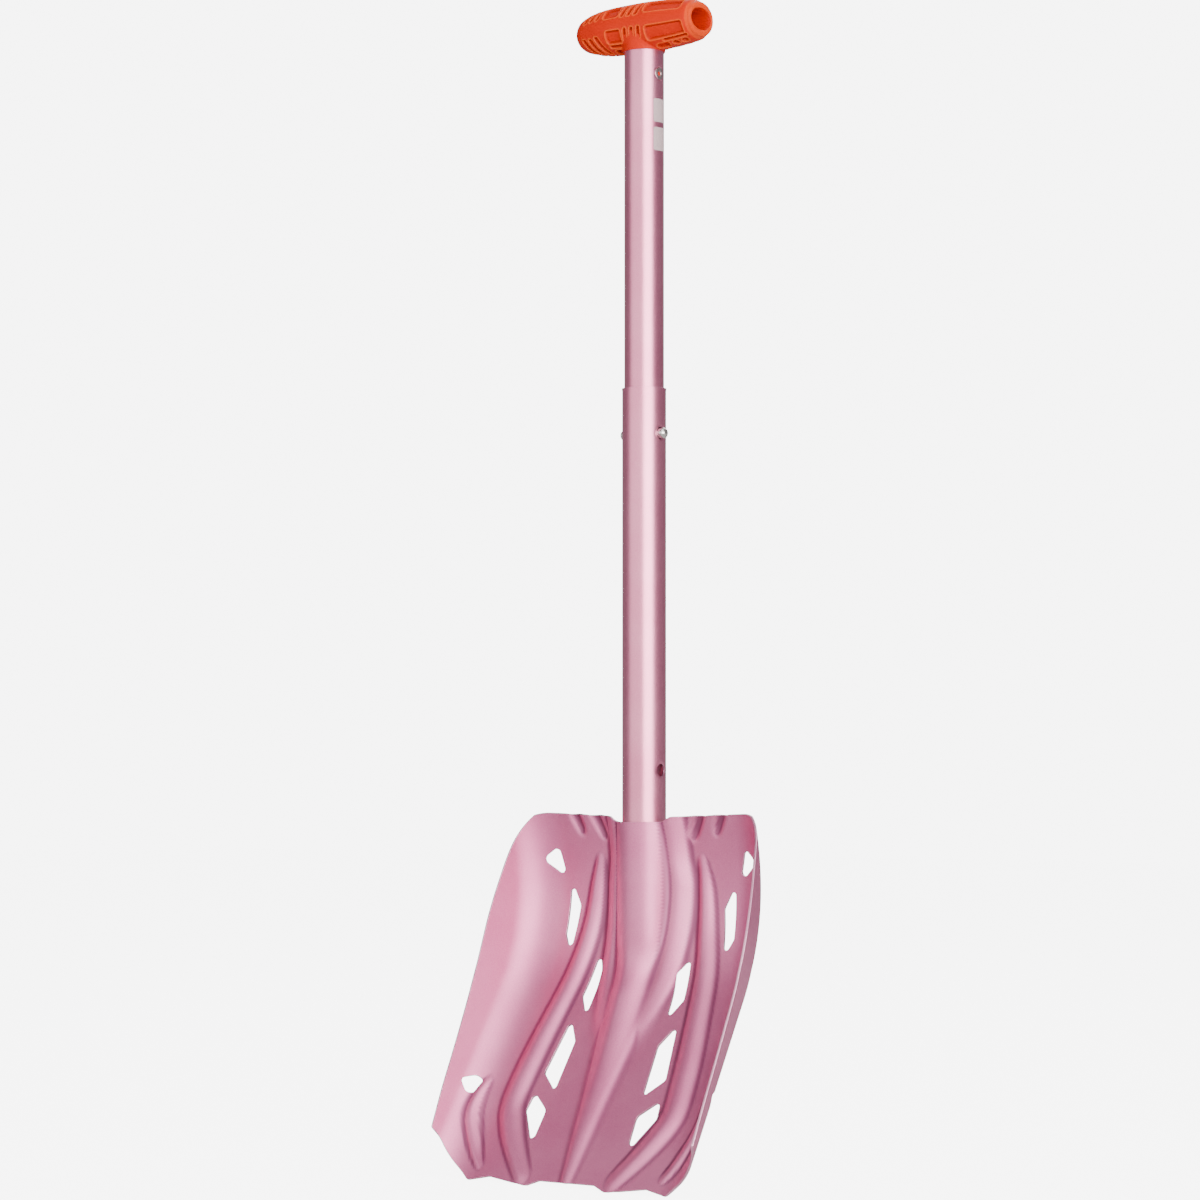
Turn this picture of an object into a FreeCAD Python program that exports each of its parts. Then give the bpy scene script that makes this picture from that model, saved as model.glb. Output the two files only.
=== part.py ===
import FreeCAD, Part
import math
import os

# Avalanche shovel with a pressed aluminium blade, a two-piece telescopic shaft and a T-grip.
# Millimetres, +Z up, blade tip at Z = 0. While it is drawn, the shaft's axis is X = Y = 0,
# the scooping face looks along -Y, and heights are measured up from the blade's tip.

# Blade sheet
BLADE_TOP = 254.0
MOUTH_DIP = 3.5
SHEET = 1.8
FLOOR_BACK = 9.2
TOP_CURL = 7.0
BEND_TOP = 205.0
BEND_RADIUS = 145.0
BEND_DEG = 31.0
WING_RADIUS = 33.0
WING_DEG = 70.0
FLAT_HALF_TOP = 76.3
FLAT_HALF_GROWTH = 0.039
FLAT_GROWTH_FROM = 150.0
LIP_LENGTH = 31.0

# Shaft tubes
LOWER_RADIUS = 15.5
LOWER_WALL = 1.2
LOWER_END = 176.0
LOWER_RIM = 555.5
UPPER_RADIUS = 14.0
UPPER_WALL = 1.2
UPPER_END = 494.0
UPPER_TOP = 792.5
RIM_LIP = 0.45

# Telescope lock
BUTTON_Z = 523.5
TRAVEL = 236.5
BUTTON_RADIUS = 3.9
BUTTON_HOLE_RADIUS = 4.5
BUTTON_OUT = 4.6
SPRING_THICK = 0.8
SPRING_WIDTH = 11.0

# Blade socket and its lock
SOCKET_GAP = 0.35
SHELL_BOTTOM = 168.0
SHELL_TOP = 248.0
SHELL_HALF_WIDTH = 40.0
SHELL_THICK = 1.6
SHELL_CORNER = 9.0
# above this height the flanges step in, so that they stay clear of the blade's grooves
FLANGE_STEP = 228.0
FLANGE_TOP_HALF = 31.5
CHANNEL_FILLET = 1.2
WELD_RADIUS = 1.5
WELD_RUNS = [(180.0, 197.0), (207.0, 224.0)]
LOCK_Z = 214.0

# Grip
GRIP_AXIS_Z = 809.8
GRIP_LEFT = -57.0
GRIP_RIGHT = 51.0
PLUG_BOTTOM = 758.0
RIVET_Z = 776.0
RIVET_RADIUS = 2.4
RIVET_BORE = 1.3
RIVET_HEAD_RADIUS = 4.4
RIVET_SEAT = 13.4
RIVET_FACE = 14.15
BARREL_BORE = 9.6
BARREL_FLARE = 11.6
COLLAR_OUT = 0.9
PLUG_WALL = 3.0

V = FreeCAD.Vector


# ---------------------------------------------------------------- blade form

def smooth(t):
    """0 below 0, 1 above 1, smooth in between."""
    t = min(1.0, max(0.0, t))
    return t * t * (3.0 - 2.0 * t)


def through(points, x):
    """Smooth value at x of a curve through (x, value) points in rising order of x."""
    if x <= points[0][0]:
        return points[0][1]
    if x >= points[-1][0]:
        return points[-1][1]
    i = 0
    while points[i + 1][0] < x:
        i += 1
    x0, y0 = points[i]
    x1, y1 = points[i + 1]
    before = points[max(i - 1, 0)]
    after = points[min(i + 2, len(points) - 1)]
    m0 = (y1 - before[1]) / (x1 - before[0])
    m1 = (after[1] - y0) / (after[0] - x0)
    d = x1 - x0
    t = (x - x0) / d
    return ((2 * t**3 - 3 * t**2 + 1) * y0 + (t**3 - 2 * t**2 + t) * d * m0
            + (3 * t**2 - 2 * t**3) * y1 + (t**3 - t**2) * d * m1)


def floor_y(z):
    """Side profile of the blade's floor: curled at the top, upright, bent, then straight."""
    if z > BEND_TOP:
        return FLOOR_BACK - TOP_CURL * ((z - BEND_TOP) / (BLADE_TOP - BEND_TOP))**2
    end = math.sin(math.radians(BEND_DEG)) * BEND_RADIUS
    drop = BEND_TOP - z
    if drop < end:
        return FLOOR_BACK - BEND_RADIUS + math.sqrt(BEND_RADIUS**2 - drop**2)
    arc = BEND_RADIUS * (1.0 - math.cos(math.radians(BEND_DEG)))
    return FLOOR_BACK - arc - math.tan(math.radians(BEND_DEG)) * (drop - end)


def wing(t, z):
    """Half-width and forward depth of a wing at the distance t along the section."""
    flat = FLAT_HALF_TOP + FLAT_HALF_GROWTH * max(0.0, FLAT_GROWTH_FROM - z)
    if t <= flat:
        return t, 0.0
    full = math.radians(WING_DEG)
    turn = min(full, (t - flat) / WING_RADIUS)
    rest = max(0.0, t - flat - full * WING_RADIUS)
    x = flat + WING_RADIUS * math.sin(turn) + rest * math.cos(full)
    depth = WING_RADIUS * (1.0 - math.cos(turn)) + rest * math.sin(full)
    return x, depth


# Ribs and grooves: (half-width from the middle, height) points, then half-breadth and rise.
LONG_RIB = [(45.0, 228.0), (48.0, 208.0), (51.5, 175.0), (56.5, 149.0), (61.5, 123.0),
            (67.5, 92.0), (71.0, 66.0), (71.5, 52.0), (67.0, 41.0), (56.0, 25.0), (39.0, 5.0)]
LONG_RIB_BREADTH = [(0.0, 4.0), (0.12, 8.5), (0.45, 11.5), (0.75, 12.5), (1.0, 8.0)]
LONG_RIB_RISE = [(0.0, 0.5), (0.12, 4.5), (0.45, 6.0), (0.8, 5.5), (1.0, 2.0)]
SHORT_RIB = [(96.5, 72.0), (99.5, 58.0), (99.5, 46.0), (95.0, 33.0), (87.0, 18.0), (79.0, 8.0)]
SHORT_RIB_BREADTH = [(0.0, 2.5), (0.3, 5.5), (0.7, 6.0), (1.0, 4.0)]
SHORT_RIB_RISE = [(0.0, 0.5), (0.3, 3.2), (0.7, 3.2), (1.0, 0.8)]
GROOVES = [[(67.5, 262.0), (58.5, 240.0)], [(49.5, 262.0), (38.5, 237.0)]]
GROOVE_BREADTH = [(0.0, 7.0), (0.6, 5.5), (1.0, 3.5)]
GROOVE_RISE = [(0.0, -3.2), (0.6, -2.8), (1.0, -1.0)]

# The bulge over the shaft: rise above the floor and half-breadth of its base, by height.
MOUND_RISE = [(0.0, 2.0), (35.0, 4.0), (76.0, 7.0), (108.0, 11.5), (140.0, 18.0), (170.0, 23.5)]
MOUND_HALF = [(0.0, 7.0), (30.0, 12.5), (65.0, 17.5), (100.0, 23.0), (124.0, 27.0),
              (170.0, 30.0)]
ROUND_FROM = 130.0
ROUND_FULL = 172.0
SHOULDER_X = [(100.0, 14.0), (120.0, 19.0), (141.0, 23.5), (172.0, 26.0), (205.0, 27.0),
              (226.0, 24.5), (254.0, 23.5)]
SHOULDER_RISE = [(92.0, 0.0), (116.0, 4.5), (141.0, 7.2), (172.0, 8.7), (205.0, 9.2),
                 (254.0, 9.2)]
SHOULDER_SLOPE = 15.0
BULGE_HALF = 19.8
BULGE_FILLET = 3.2


def path_samples(path, breadth, rise, steps=36):
    """Points along a rib's middle line with the breadth and the rise there."""
    lengths = [0.0]
    for a, b in zip(path, path[1:]):
        lengths.append(lengths[-1] + math.dist(a, b))
    xs = [(s, p[0]) for s, p in zip(lengths, path)]
    zs = [(s, p[1]) for s, p in zip(lengths, path)]
    samples = []
    for i in range(steps + 1):
        part = i / steps
        s = part * lengths[-1]
        samples.append((through(xs, s), through(zs, s), through(breadth, part),
                        through(rise, part)))
    return samples


RIBS = [path_samples(LONG_RIB, LONG_RIB_BREADTH, LONG_RIB_RISE),
        path_samples(SHORT_RIB, SHORT_RIB_BREADTH, SHORT_RIB_RISE)]
for groove in GROOVES:
    RIBS.append(path_samples(groove, GROOVE_BREADTH, GROOVE_RISE, 12))


def rib_rise(x, z):
    """Height of the ribs and grooves above the floor at one place."""
    total = 0.0
    for samples in RIBS:
        nearest = None
        for (ax, az, a_half, a_rise), (bx, bz, b_half, b_rise) in zip(samples, samples[1:]):
            dx, dz = bx - ax, bz - az
            share = ((x - ax) * dx + (z - az) * dz) / (dx * dx + dz * dz)
            share = min(1.0, max(0.0, share))
            gap = math.hypot(x - ax - share * dx, z - az - share * dz)
            if nearest is None or gap < nearest[0]:
                half = a_half + share * (b_half - a_half)
                nearest = (gap, half, a_rise + share * (b_rise - a_rise))
        gap, half, rise = nearest
        if gap < half:
            total += rise * (1.0 - (gap / half)**2)**2
    return total


def bulge_rise(x, z):
    """Height of the shaft's bulge and of its two shoulders above the floor."""
    reach = LOWER_RADIUS + SOCKET_GAP + SHEET
    back = floor_y(z)
    half = through(MOUND_HALF, z)
    mound = through(MOUND_RISE, z) * (0.5 + 0.5 * math.cos(math.pi * min(1.0, x / half)))
    edge = 0.995 * BULGE_HALF
    arc = reach * math.sqrt(1.0 - (min(x, edge) / BULGE_HALF)**2)
    tube = max(0.0, arc + back - 6.0 * max(0.0, x - edge))
    share = smooth((z - ROUND_FROM) / (ROUND_FULL - ROUND_FROM))
    middle = mound * (1.0 - share) + tube * share
    crest = through(SHOULDER_X, z)
    foot = smooth((crest + SHOULDER_SLOPE - x) / (SHOULDER_SLOPE + 1.0))
    inner = 0.88 + 0.12 * smooth((x - crest + 12.0) / 12.0)
    shoulder = through(SHOULDER_RISE, z) * foot * inner
    joined = 0.5 * (middle + shoulder + math.hypot(middle - shoulder, BULGE_FILLET))
    settle = 1.0 - 0.85 * smooth(max(middle, shoulder) / 4.0)
    return joined - 0.5 * BULGE_FILLET * settle


def blade_point(t, z):
    """Point of the blade's front face at section distance t (signed) and height z."""
    x, depth = wing(abs(t), z)
    y = floor_y(z) - depth - bulge_rise(x, z) - rib_rise(x, z)
    return V(math.copysign(x, t), y, z)


def shell_point(x, z):
    """Point of the rear shell's front face: flanges on the blade's back, round channel."""
    inside = LOWER_RADIUS + SOCKET_GAP
    flange = floor_y(z) + SHEET / math.cos(math.radians(8.0)) + 0.05
    arc = math.sqrt(max(0.0, inside * inside - x * x))
    y = 0.5 * (arc + flange + math.hypot(arc - flange, CHANNEL_FILLET))
    return V(x, y, z)


def offset_points(rows, thickness):
    """Copy of a grid of points moved back along the grid's normals."""
    moved = []
    last_row = len(rows) - 1
    for j, row in enumerate(rows):
        out = []
        last = len(row) - 1
        for i, p in enumerate(row):
            along = row[min(i + 1, last)] - row[max(i - 1, 0)]
            up = rows[min(j + 1, last_row)][i] - rows[max(j - 1, 0)][i]
            normal = up.cross(along)
            normal.normalize()
            out.append(p + normal * thickness)
        moved.append(out)
    return moved


def sheet_solid(rows, thickness):
    """Closed solid between a grid of points and its offset copy."""
    faces = []
    grids = [rows, offset_points(rows, thickness)]
    for grid in grids:
        surface = Part.BSplineSurface()
        surface.interpolate(grid)
        faces.append(surface.toShape())
    borders = []
    for face in faces:
        borders.append(face.OuterWire.OrderedEdges)
    for edge in borders[0]:
        middle = edge.valueAt((edge.FirstParameter + edge.LastParameter) / 2)
        partner = min(borders[1], key=lambda e: e.valueAt(
            (e.FirstParameter + e.LastParameter) / 2).distanceToPoint(middle))
        faces.append(Part.makeRuledSurface(edge, partner))
    sewn = Part.makeShell(faces)
    sewn.sewShape()
    solid = Part.makeSolid(Part.Shell(sewn.Faces))
    if solid.Volume < 0:
        solid.reverse()
    return solid


# ---------------------------------------------------------------- outlines

def rounded_wire(points, radii, lift):
    """Closed wire of straight runs and corner arcs; lift turns (a, b) into a vector."""
    count = len(points)
    marks = []
    for i in range(count):
        p = V(points[i][0], points[i][1], 0)
        before = V(points[i - 1][0], points[i - 1][1], 0) - p
        after = V(points[(i + 1) % count][0], points[(i + 1) % count][1], 0) - p
        radius = radii[i] if isinstance(radii, list) else radii
        half = before.getAngle(after) / 2.0
        if radius <= 0 or half > math.radians(89.0):
            marks.append((p, p, p))
            continue
        reach = radius / math.tan(half)
        start = p + before.normalize() * reach
        end = p + after.normalize() * reach
        centre = p + (before + after).normalize() * (radius / math.sin(half))
        top = centre + (p - centre).normalize() * radius
        marks.append((start, top, end))
    edges = []
    for i in range(count):
        start, top, end = marks[i]
        following = marks[(i + 1) % count][0]
        if (end - start).Length > 1e-6:
            edges.append(Part.Arc(lift(start), lift(top), lift(end)).toShape())
        if (following - end).Length > 1e-6:
            edges.append(Part.LineSegment(lift(end), lift(following)).toShape())
    return Part.Wire(edges)


def punch_y(points, radii, mirror=False):
    """Prism along Y through the whole blade, from an outline in X and Z."""
    sign = -1.0 if mirror else 1.0
    wire = rounded_wire(points, radii, lambda p: V(sign * p.x, -150.0, p.y))
    return Part.Face(wire).extrude(V(0, 220.0, 0))


def punch_x(points, radii, start, length):
    """Prism along X from an outline in Y and Z."""
    wire = rounded_wire(points, radii, lambda p: V(start, p.x, p.y))
    return Part.Face(wire).extrude(V(length, 0, 0))


HOLES = [
    ([(82.9, 233.0), (76.9, 208.5), (95.5, 223.0)], [3.2, 3.0, 4.5]),
    ([(63.9, 190.4), (68.2, 155.6), (75.2, 169.4), (73.5, 208.8)], [5.0, 2.6, 4.0, 2.4]),
    ([(33.4, 145.3), (35.5, 112.3), (45.4, 127.0), (41.0, 157.6)], [5.0, 2.4, 4.0, 2.4]),
    ([(36.6, 96.3), (38.8, 62.0), (54.0, 74.0), (47.4, 111.5)], [5.0, 2.2, 3.0, 2.6]),
    ([(40.0, 49.6), (42.1, 25.0), (58.1, 48.6), (56.1, 61.2)], [5.0, 3.0, 3.5, 3.0]),
]
WING_HOLE = [(-52.0, 72.5), (-67.5, 55.0), (-69.5, 69.5)]

# Half of the blade's outline seen from the front, from the middle of the edge outwards.
EDGE = [(24.0, 4.0), (35.0, 0.0), (69.0, 4.2), (87.5, 0.8), (105.0, 16.0), (116.5, 42.0)]
EDGE_RADII = [2.0, 3.0, 8.0, 4.0, 45.0, 22.0]
CORNER_X = 117.0
CORNER_RADIUS = 30.0
CORNER_LIFT = 3.2

# Rim of a wing seen from the side, (Y, height).
RIM = [(-2.0, 260.0), (-16.1, 232.0), (-25.0, 208.0), (-33.4, 184.0), (-41.4, 160.0),
       (-50.7, 136.0), (-61.3, 112.0), (-72.4, 88.0), (-83.8, 64.0), (-92.6, 44.0),
       (-105.0, 16.0), (-115.0, -8.0)]


def front_outline():
    """Prism along Y that holds the blade inside its front outline."""
    right = EDGE + [(CORNER_X, 60.0), (CORNER_X, BLADE_TOP + CORNER_LIFT)]
    radii = EDGE_RADII + [0.0, CORNER_RADIUS]
    points = right + [(27.0, BLADE_TOP), (20.5, BLADE_TOP - MOUTH_DIP)]
    radii = radii + [6.0, 6.0]
    mirrored = [(-x, z) for x, z in reversed(points)]
    wire_points = points + mirrored
    wire_radii = radii + list(reversed(radii))
    return punch_y(wire_points, wire_radii)


def rim_cutter():
    """Solid in front of both wing rims, which it cuts to their side profile."""
    curve = Part.BSplineCurve()
    curve.interpolate([V(0, y, z) for y, z in RIM])
    first = V(0, *RIM[0])
    last = V(0, *RIM[-1])
    far_top = V(0, -190.0, RIM[0][1])
    far_bottom = V(0, -190.0, RIM[-1][1])
    edges = [curve.toShape(), Part.LineSegment(last, far_bottom).toShape(),
             Part.LineSegment(far_bottom, far_top).toShape(),
             Part.LineSegment(far_top, first).toShape()]
    face = Part.Face(Part.Wire(edges))
    face.translate(V(92.0, 0, 0))
    right = face.extrude(V(60.0, 0, 0))
    left = right.mirror(V(0, 0, 0), V(1, 0, 0))
    return [left, right]


def blade_grid():
    """Grid of front-face points, closer together where the form bends faster."""
    half = []
    t = 0.0
    full = FLAT_HALF_TOP + 4.5 + math.radians(WING_DEG) * WING_RADIUS + LIP_LENGTH
    while t < full:
        half.append(t)
        if t < 10.0:
            t += 2.5
        elif t < 22.0:
            t += 1.2
        elif t < 44.0:
            t += 2.0
        else:
            t += 3.0
    half.append(full)
    columns = [-t for t in reversed(half[1:])] + half
    count = 66
    bottom = -8.0
    rows = []
    for j in range(count + 1):
        z = bottom + (BLADE_TOP + 4.0 - bottom) * j / count
        rows.append([blade_point(t, z) for t in columns])
    return rows


def make_blade():
    sheet = sheet_solid(blade_grid(), SHEET)
    sheet = sheet.common(front_outline())
    cutters = list(rim_cutter())
    for points, radii in HOLES:
        cutters.append(punch_y(points, radii))
        cutters.append(punch_y(points, radii, mirror=True))
    cutters.append(punch_x(WING_HOLE, 3.0, 86.0, 50.0))
    cutters.append(punch_x(WING_HOLE, 3.0, -136.0, 50.0))
    return sheet.cut(cutters)


def make_rear_shell():
    columns = [SHELL_HALF_WIDTH * i / 26.0 for i in range(-26, 27)]
    rows = []
    for j in range(25):
        z = SHELL_BOTTOM - 2.0 + (SHELL_TOP + 4.0 - SHELL_BOTTOM) * j / 24.0
        rows.append([shell_point(x, z) for x in columns])
    sheet = sheet_solid(rows, SHELL_THICK)
    half = SHELL_HALF_WIDTH - 0.5
    step = half - FLANGE_TOP_HALF
    outline = [(-half, SHELL_BOTTOM), (half, SHELL_BOTTOM), (half, FLANGE_STEP),
               (FLANGE_TOP_HALF, FLANGE_STEP + step), (FLANGE_TOP_HALF, SHELL_TOP),
               (-FLANGE_TOP_HALF, SHELL_TOP), (-FLANGE_TOP_HALF, FLANGE_STEP + step),
               (-half, FLANGE_STEP)]
    corners = [SHELL_CORNER, SHELL_CORNER, 5.0, 5.0, 5.0, 5.0, 5.0, 5.0]
    shell = sheet.common(punch_y(outline, corners))
    hole = Part.makeCylinder(BUTTON_HOLE_RADIUS, 30.0, V(0, 5.0, LOCK_Z), V(0, 1, 0))
    return shell.cut(hole)


def make_weld(side, joined):
    """Two welded stitches along one flange of the rear shell, lying on the joined sheets."""
    beads = []
    for low, high in WELD_RUNS:
        x = side * (SHELL_HALF_WIDTH + 0.6)
        points = []
        for i in range(5):
            z = low + (high - low) * i / 4.0
            points.append(V(x, floor_y(z) + SHEET + 0.9, z))
        path = Part.BSplineCurve()
        path.interpolate(points)
        direction = points[1] - points[0]
        ring = Part.Wire(Part.makeCircle(WELD_RADIUS, points[0], direction))
        bead = Part.Wire(path.toShape()).makePipeShell([ring], True, True)
        for end in (points[0], points[-1]):
            bead = bead.fuse(Part.makeSphere(WELD_RADIUS, end))
        laid = bead.removeSplitter().cut(joined)
        beads.append(max(laid.Solids, key=lambda solid: solid.Volume))
    return Part.makeCompound(beads)


# ---------------------------------------------------------------- shaft

def tube(radius, wall, low, high):
    outer = Part.makeCylinder(radius, high - low, V(0, 0, low))
    inner = Part.makeCylinder(radius - wall, high - low + 2, V(0, 0, low - 1))
    return outer.cut(inner)


def cross_hole(radius, z, axis, start, length):
    return Part.makeCylinder(radius, length, axis * start + V(0, 0, z), axis)


def make_lower_tube():
    body = tube(LOWER_RADIUS, LOWER_WALL, LOWER_END, LOWER_RIM)
    lip = Part.makeTorus(LOWER_RADIUS - 0.15, RIM_LIP, V(0, 0, LOWER_RIM - RIM_LIP))
    body = body.fuse(lip)
    ream = Part.makeCylinder(LOWER_RADIUS - LOWER_WALL, 8.0, V(0, 0, LOWER_RIM - 5.0))
    body = body.cut(ream)
    for z in (BUTTON_Z, BUTTON_Z - TRAVEL):
        body = body.cut(cross_hole(BUTTON_HOLE_RADIUS, z, V(1, 0, 0), -20.0, 40.0))
    return body.cut(cross_hole(BUTTON_HOLE_RADIUS, LOCK_Z, V(0, 1, 0), 0.0, 20.0))


def make_upper_tube():
    body = tube(UPPER_RADIUS, UPPER_WALL, UPPER_END, UPPER_TOP)
    body = body.cut(cross_hole(BUTTON_HOLE_RADIUS, BUTTON_Z, V(1, 0, 0), -20.0, 40.0))
    body = body.cut([rivet_ring(1.0, UPPER_RADIUS + 1.0), rivet_ring(-1.0, UPPER_RADIUS + 1.0)])
    return body.cut(cross_hole(RIVET_RADIUS, RIVET_Z, V(1, 0, 0), -20.0, 40.0))


def rivet_ring(side, outside):
    """Curved disc about the tube's axis, from the rivet's seat out to the given radius."""
    disc = cross_hole(RIVET_HEAD_RADIUS, RIVET_Z, V(side, 0, 0), 0.0, 20.0)
    low = V(0, 0, RIVET_Z - 10.0)
    shell = Part.makeCylinder(outside, 20.0, low).cut(Part.makeCylinder(RIVET_SEAT, 20.0, low))
    return shell.common(disc)


def snap_button(radius, tip, seat, z, axis):
    """Steel snap button: straight shank from the spring, then a domed end."""
    dome_rise = 2.4
    ball = (radius**2 + dome_rise**2) / (2.0 * dome_rise)
    shank = Part.makeCylinder(radius, tip - seat, axis * seat + V(0, 0, z), axis)
    cap = Part.makeSphere(ball, axis * (tip - ball) + V(0, 0, z))
    return shank.common(cap.fuse(Part.makeCylinder(
        radius + 1.0, tip - dome_rise - seat, axis * seat + V(0, 0, z), axis)))


def leaf(points, thickness, width, across):
    """Bent strip of spring steel: middle line in one plane, thickness to its left."""
    outer = []
    count = len(points)
    for i in range(count):
        ahead = points[min(i + 1, count - 1)] - points[max(i - 1, 0)]
        side = across.cross(ahead)
        side.normalize()
        outer.append(points[i] + side * thickness)
    loop = points + list(reversed(outer)) + [points[0]]
    face = Part.Face(Part.makePolygon(loop))
    face.translate(across * (-width / 2.0))
    return face.extrude(across * width)


LEG_AT_BUTTON = UPPER_RADIUS - UPPER_WALL - 2.0
LOOP_RADIUS = 6.0
LOOP_Z = BUTTON_Z + 48.0


def make_telescope_spring():
    """V-shaped leaf spring, its two legs joined by a round loop above the buttons."""
    points = [V(LEG_AT_BUTTON, 0, BUTTON_Z - 8.0), V(LEG_AT_BUTTON, 0, BUTTON_Z + 8.0)]
    for i in range(13):
        turn = math.pi * i / 12.0
        points.append(V(LOOP_RADIUS * math.cos(turn), 0, LOOP_Z + LOOP_RADIUS * math.sin(turn)))
    points.append(V(-LEG_AT_BUTTON, 0, BUTTON_Z + 8.0))
    points.append(V(-LEG_AT_BUTTON, 0, BUTTON_Z - 8.0))
    return leaf(points, -SPRING_THICK, SPRING_WIDTH, V(0, 1, 0))


LOCK_LEG = LOWER_RADIUS - LOWER_WALL - 2.2


def make_lock_spring():
    """Bow-shaped leaf spring behind the blade lock's button, wedged across the tube."""
    points = [V(0, LOCK_LEG, LOCK_Z + 9.0), V(0, LOCK_LEG, LOCK_Z - 6.0)]
    for i in range(13):
        turn = math.pi * i / 12.0
        points.append(V(0, LOOP_RADIUS * math.cos(turn),
                        LOCK_Z - 18.0 - LOOP_RADIUS * math.sin(turn)))
    points.append(V(0, -LOCK_LEG - 0.6, LOCK_Z + 2.0))
    points.append(V(0, -LOCK_LEG - 0.6, LOCK_Z + 16.0))
    return leaf(points, -SPRING_THICK, SPRING_WIDTH, V(1, 0, 0))


# ---------------------------------------------------------------- grip

GRIP_PROFILE = [(GRIP_LEFT, 0.0), (-56.0, 5.2), (-53.0, 9.6), (-46.0, 13.0), (-30.0, 16.0),
                (-8.0, 17.3), (14.0, 17.3), (32.0, 16.4), (44.0, 15.2), (49.0, 14.4)]
RIM_CHAMFER = 1.6


def barrel():
    """Barrel of the grip, turned about its own axis."""
    curve = Part.BSplineCurve()
    curve.interpolate([V(x, 0, r) for x, r in GRIP_PROFILE])
    start = V(GRIP_LEFT, 0, 0)
    end = V(GRIP_PROFILE[-1][0], 0, GRIP_PROFILE[-1][1])
    chamfer = V(GRIP_RIGHT, 0, end.z - RIM_CHAMFER)
    middle = V(GRIP_RIGHT, 0, 0)
    edges = [curve.toShape(), Part.LineSegment(end, chamfer).toShape(),
             Part.LineSegment(chamfer, middle).toShape(),
             Part.LineSegment(middle, start).toShape()]
    solid = Part.Face(Part.Wire(edges)).revolve(V(0, 0, 0), V(1, 0, 0), 360)
    solid.translate(V(0, 0, GRIP_AXIS_Z))
    return solid


def make_grip():
    """Hollow T-grip, open at its right end, with the plug that enters the upper tube."""
    collar = Part.makeCylinder(UPPER_RADIUS + COLLAR_OUT, 9.0, V(0, 0, UPPER_TOP))
    body = barrel().fuse(collar)
    bore = Part.makeCylinder(BARREL_BORE, 46.0, V(6.0, 0, GRIP_AXIS_Z), V(1, 0, 0))
    flare = Part.makeCone(BARREL_BORE, BARREL_FLARE, 9.0, V(GRIP_RIGHT - 8.9, 0, GRIP_AXIS_Z),
                          V(1, 0, 0))
    body = body.cut([bore, flare])
    plug_radius = UPPER_RADIUS - UPPER_WALL
    plug = Part.makeCylinder(plug_radius, UPPER_TOP - PLUG_BOTTOM + 3.0, V(0, 0, PLUG_BOTTOM))
    core = Part.makeCylinder(plug_radius - PLUG_WALL, UPPER_TOP - PLUG_BOTTOM - 6.0,
                             V(0, 0, PLUG_BOTTOM - 1.0))
    below = Part.makeBox(160, 80, 60, V(-80, -40, UPPER_TOP - 60.0))
    body = body.cut(below)
    body = body.fuse(plug).cut(core)
    return body.cut(cross_hole(RIVET_RADIUS, RIVET_Z, V(1, 0, 0), -20.0, 40.0))


def make_rivet(side):
    """Tubular rivet: head let into the tube, shank through the tube and the plug's wall."""
    axis = V(side, 0, 0)
    head = rivet_ring(side, RIVET_FACE)
    shank_in = UPPER_RADIUS - UPPER_WALL - PLUG_WALL - 0.6
    shank = cross_hole(RIVET_RADIUS, RIVET_Z, axis, shank_in, RIVET_SEAT + 0.1 - shank_in)
    hollow = cross_hole(RIVET_BORE, RIVET_Z, axis, shank_in - 1.0, 10.0)
    return head.fuse(shank).cut(hollow)


# ---------------------------------------------------------------- export

def all_parts():
    reach = LOWER_RADIUS + BUTTON_OUT
    shell_out = LOWER_RADIUS + SOCKET_GAP + SHELL_THICK + 3.2
    seat = LEG_AT_BUTTON
    blade = make_blade()
    shell = make_rear_shell()
    return {
        "blade": blade,
        "rear_socket_shell": shell,
        "left_weld_stitches": make_weld(-1.0, [blade, shell]),
        "right_weld_stitches": make_weld(1.0, [blade, shell]),
        "lower_tube": make_lower_tube(),
        "blade_lock_spring": make_lock_spring(),
        "blade_lock_button": snap_button(BUTTON_RADIUS, shell_out, LOCK_LEG, LOCK_Z,
                                         V(0, 1, 0)),
        "upper_tube": make_upper_tube(),
        "telescope_spring": make_telescope_spring(),
        "left_telescope_button": snap_button(BUTTON_RADIUS, reach, seat, BUTTON_Z,
                                             V(-1, 0, 0)),
        "right_telescope_button": snap_button(BUTTON_RADIUS, reach, seat, BUTTON_Z,
                                              V(1, 0, 0)),
        "grip_body": make_grip(),
        "left_grip_rivet": make_rivet(-1.0),
        "right_grip_rivet": make_rivet(1.0),
    }


def main():
    os.makedirs("parts", exist_ok=True)
    parts = all_parts()
    points = Part.makeCompound(list(parts.values())).tessellate(0.05)[0]
    depths = [p.y for p in points]
    lowest = min(p.z for p in points)
    shift = V(0, -(min(depths) + max(depths)) / 2.0, -lowest)
    print("shaft axis at Y %.3f, lifted by %.3f" % (shift.y, shift.z))
    for name, shape in parts.items():
        shape.translate(shift)
        shape.exportStep("parts/" + name + ".step")
        print("%-24s %2d solids  valid %s  %8.1f mm3" % (
            name, len(shape.Solids), shape.isValid(), shape.Volume))


main()
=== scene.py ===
import math
import bpy
import numpy as np
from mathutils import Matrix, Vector
from mathutils.geometry import delaunay_2d_cdt
from mathutils.kdtree import KDTree


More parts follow.
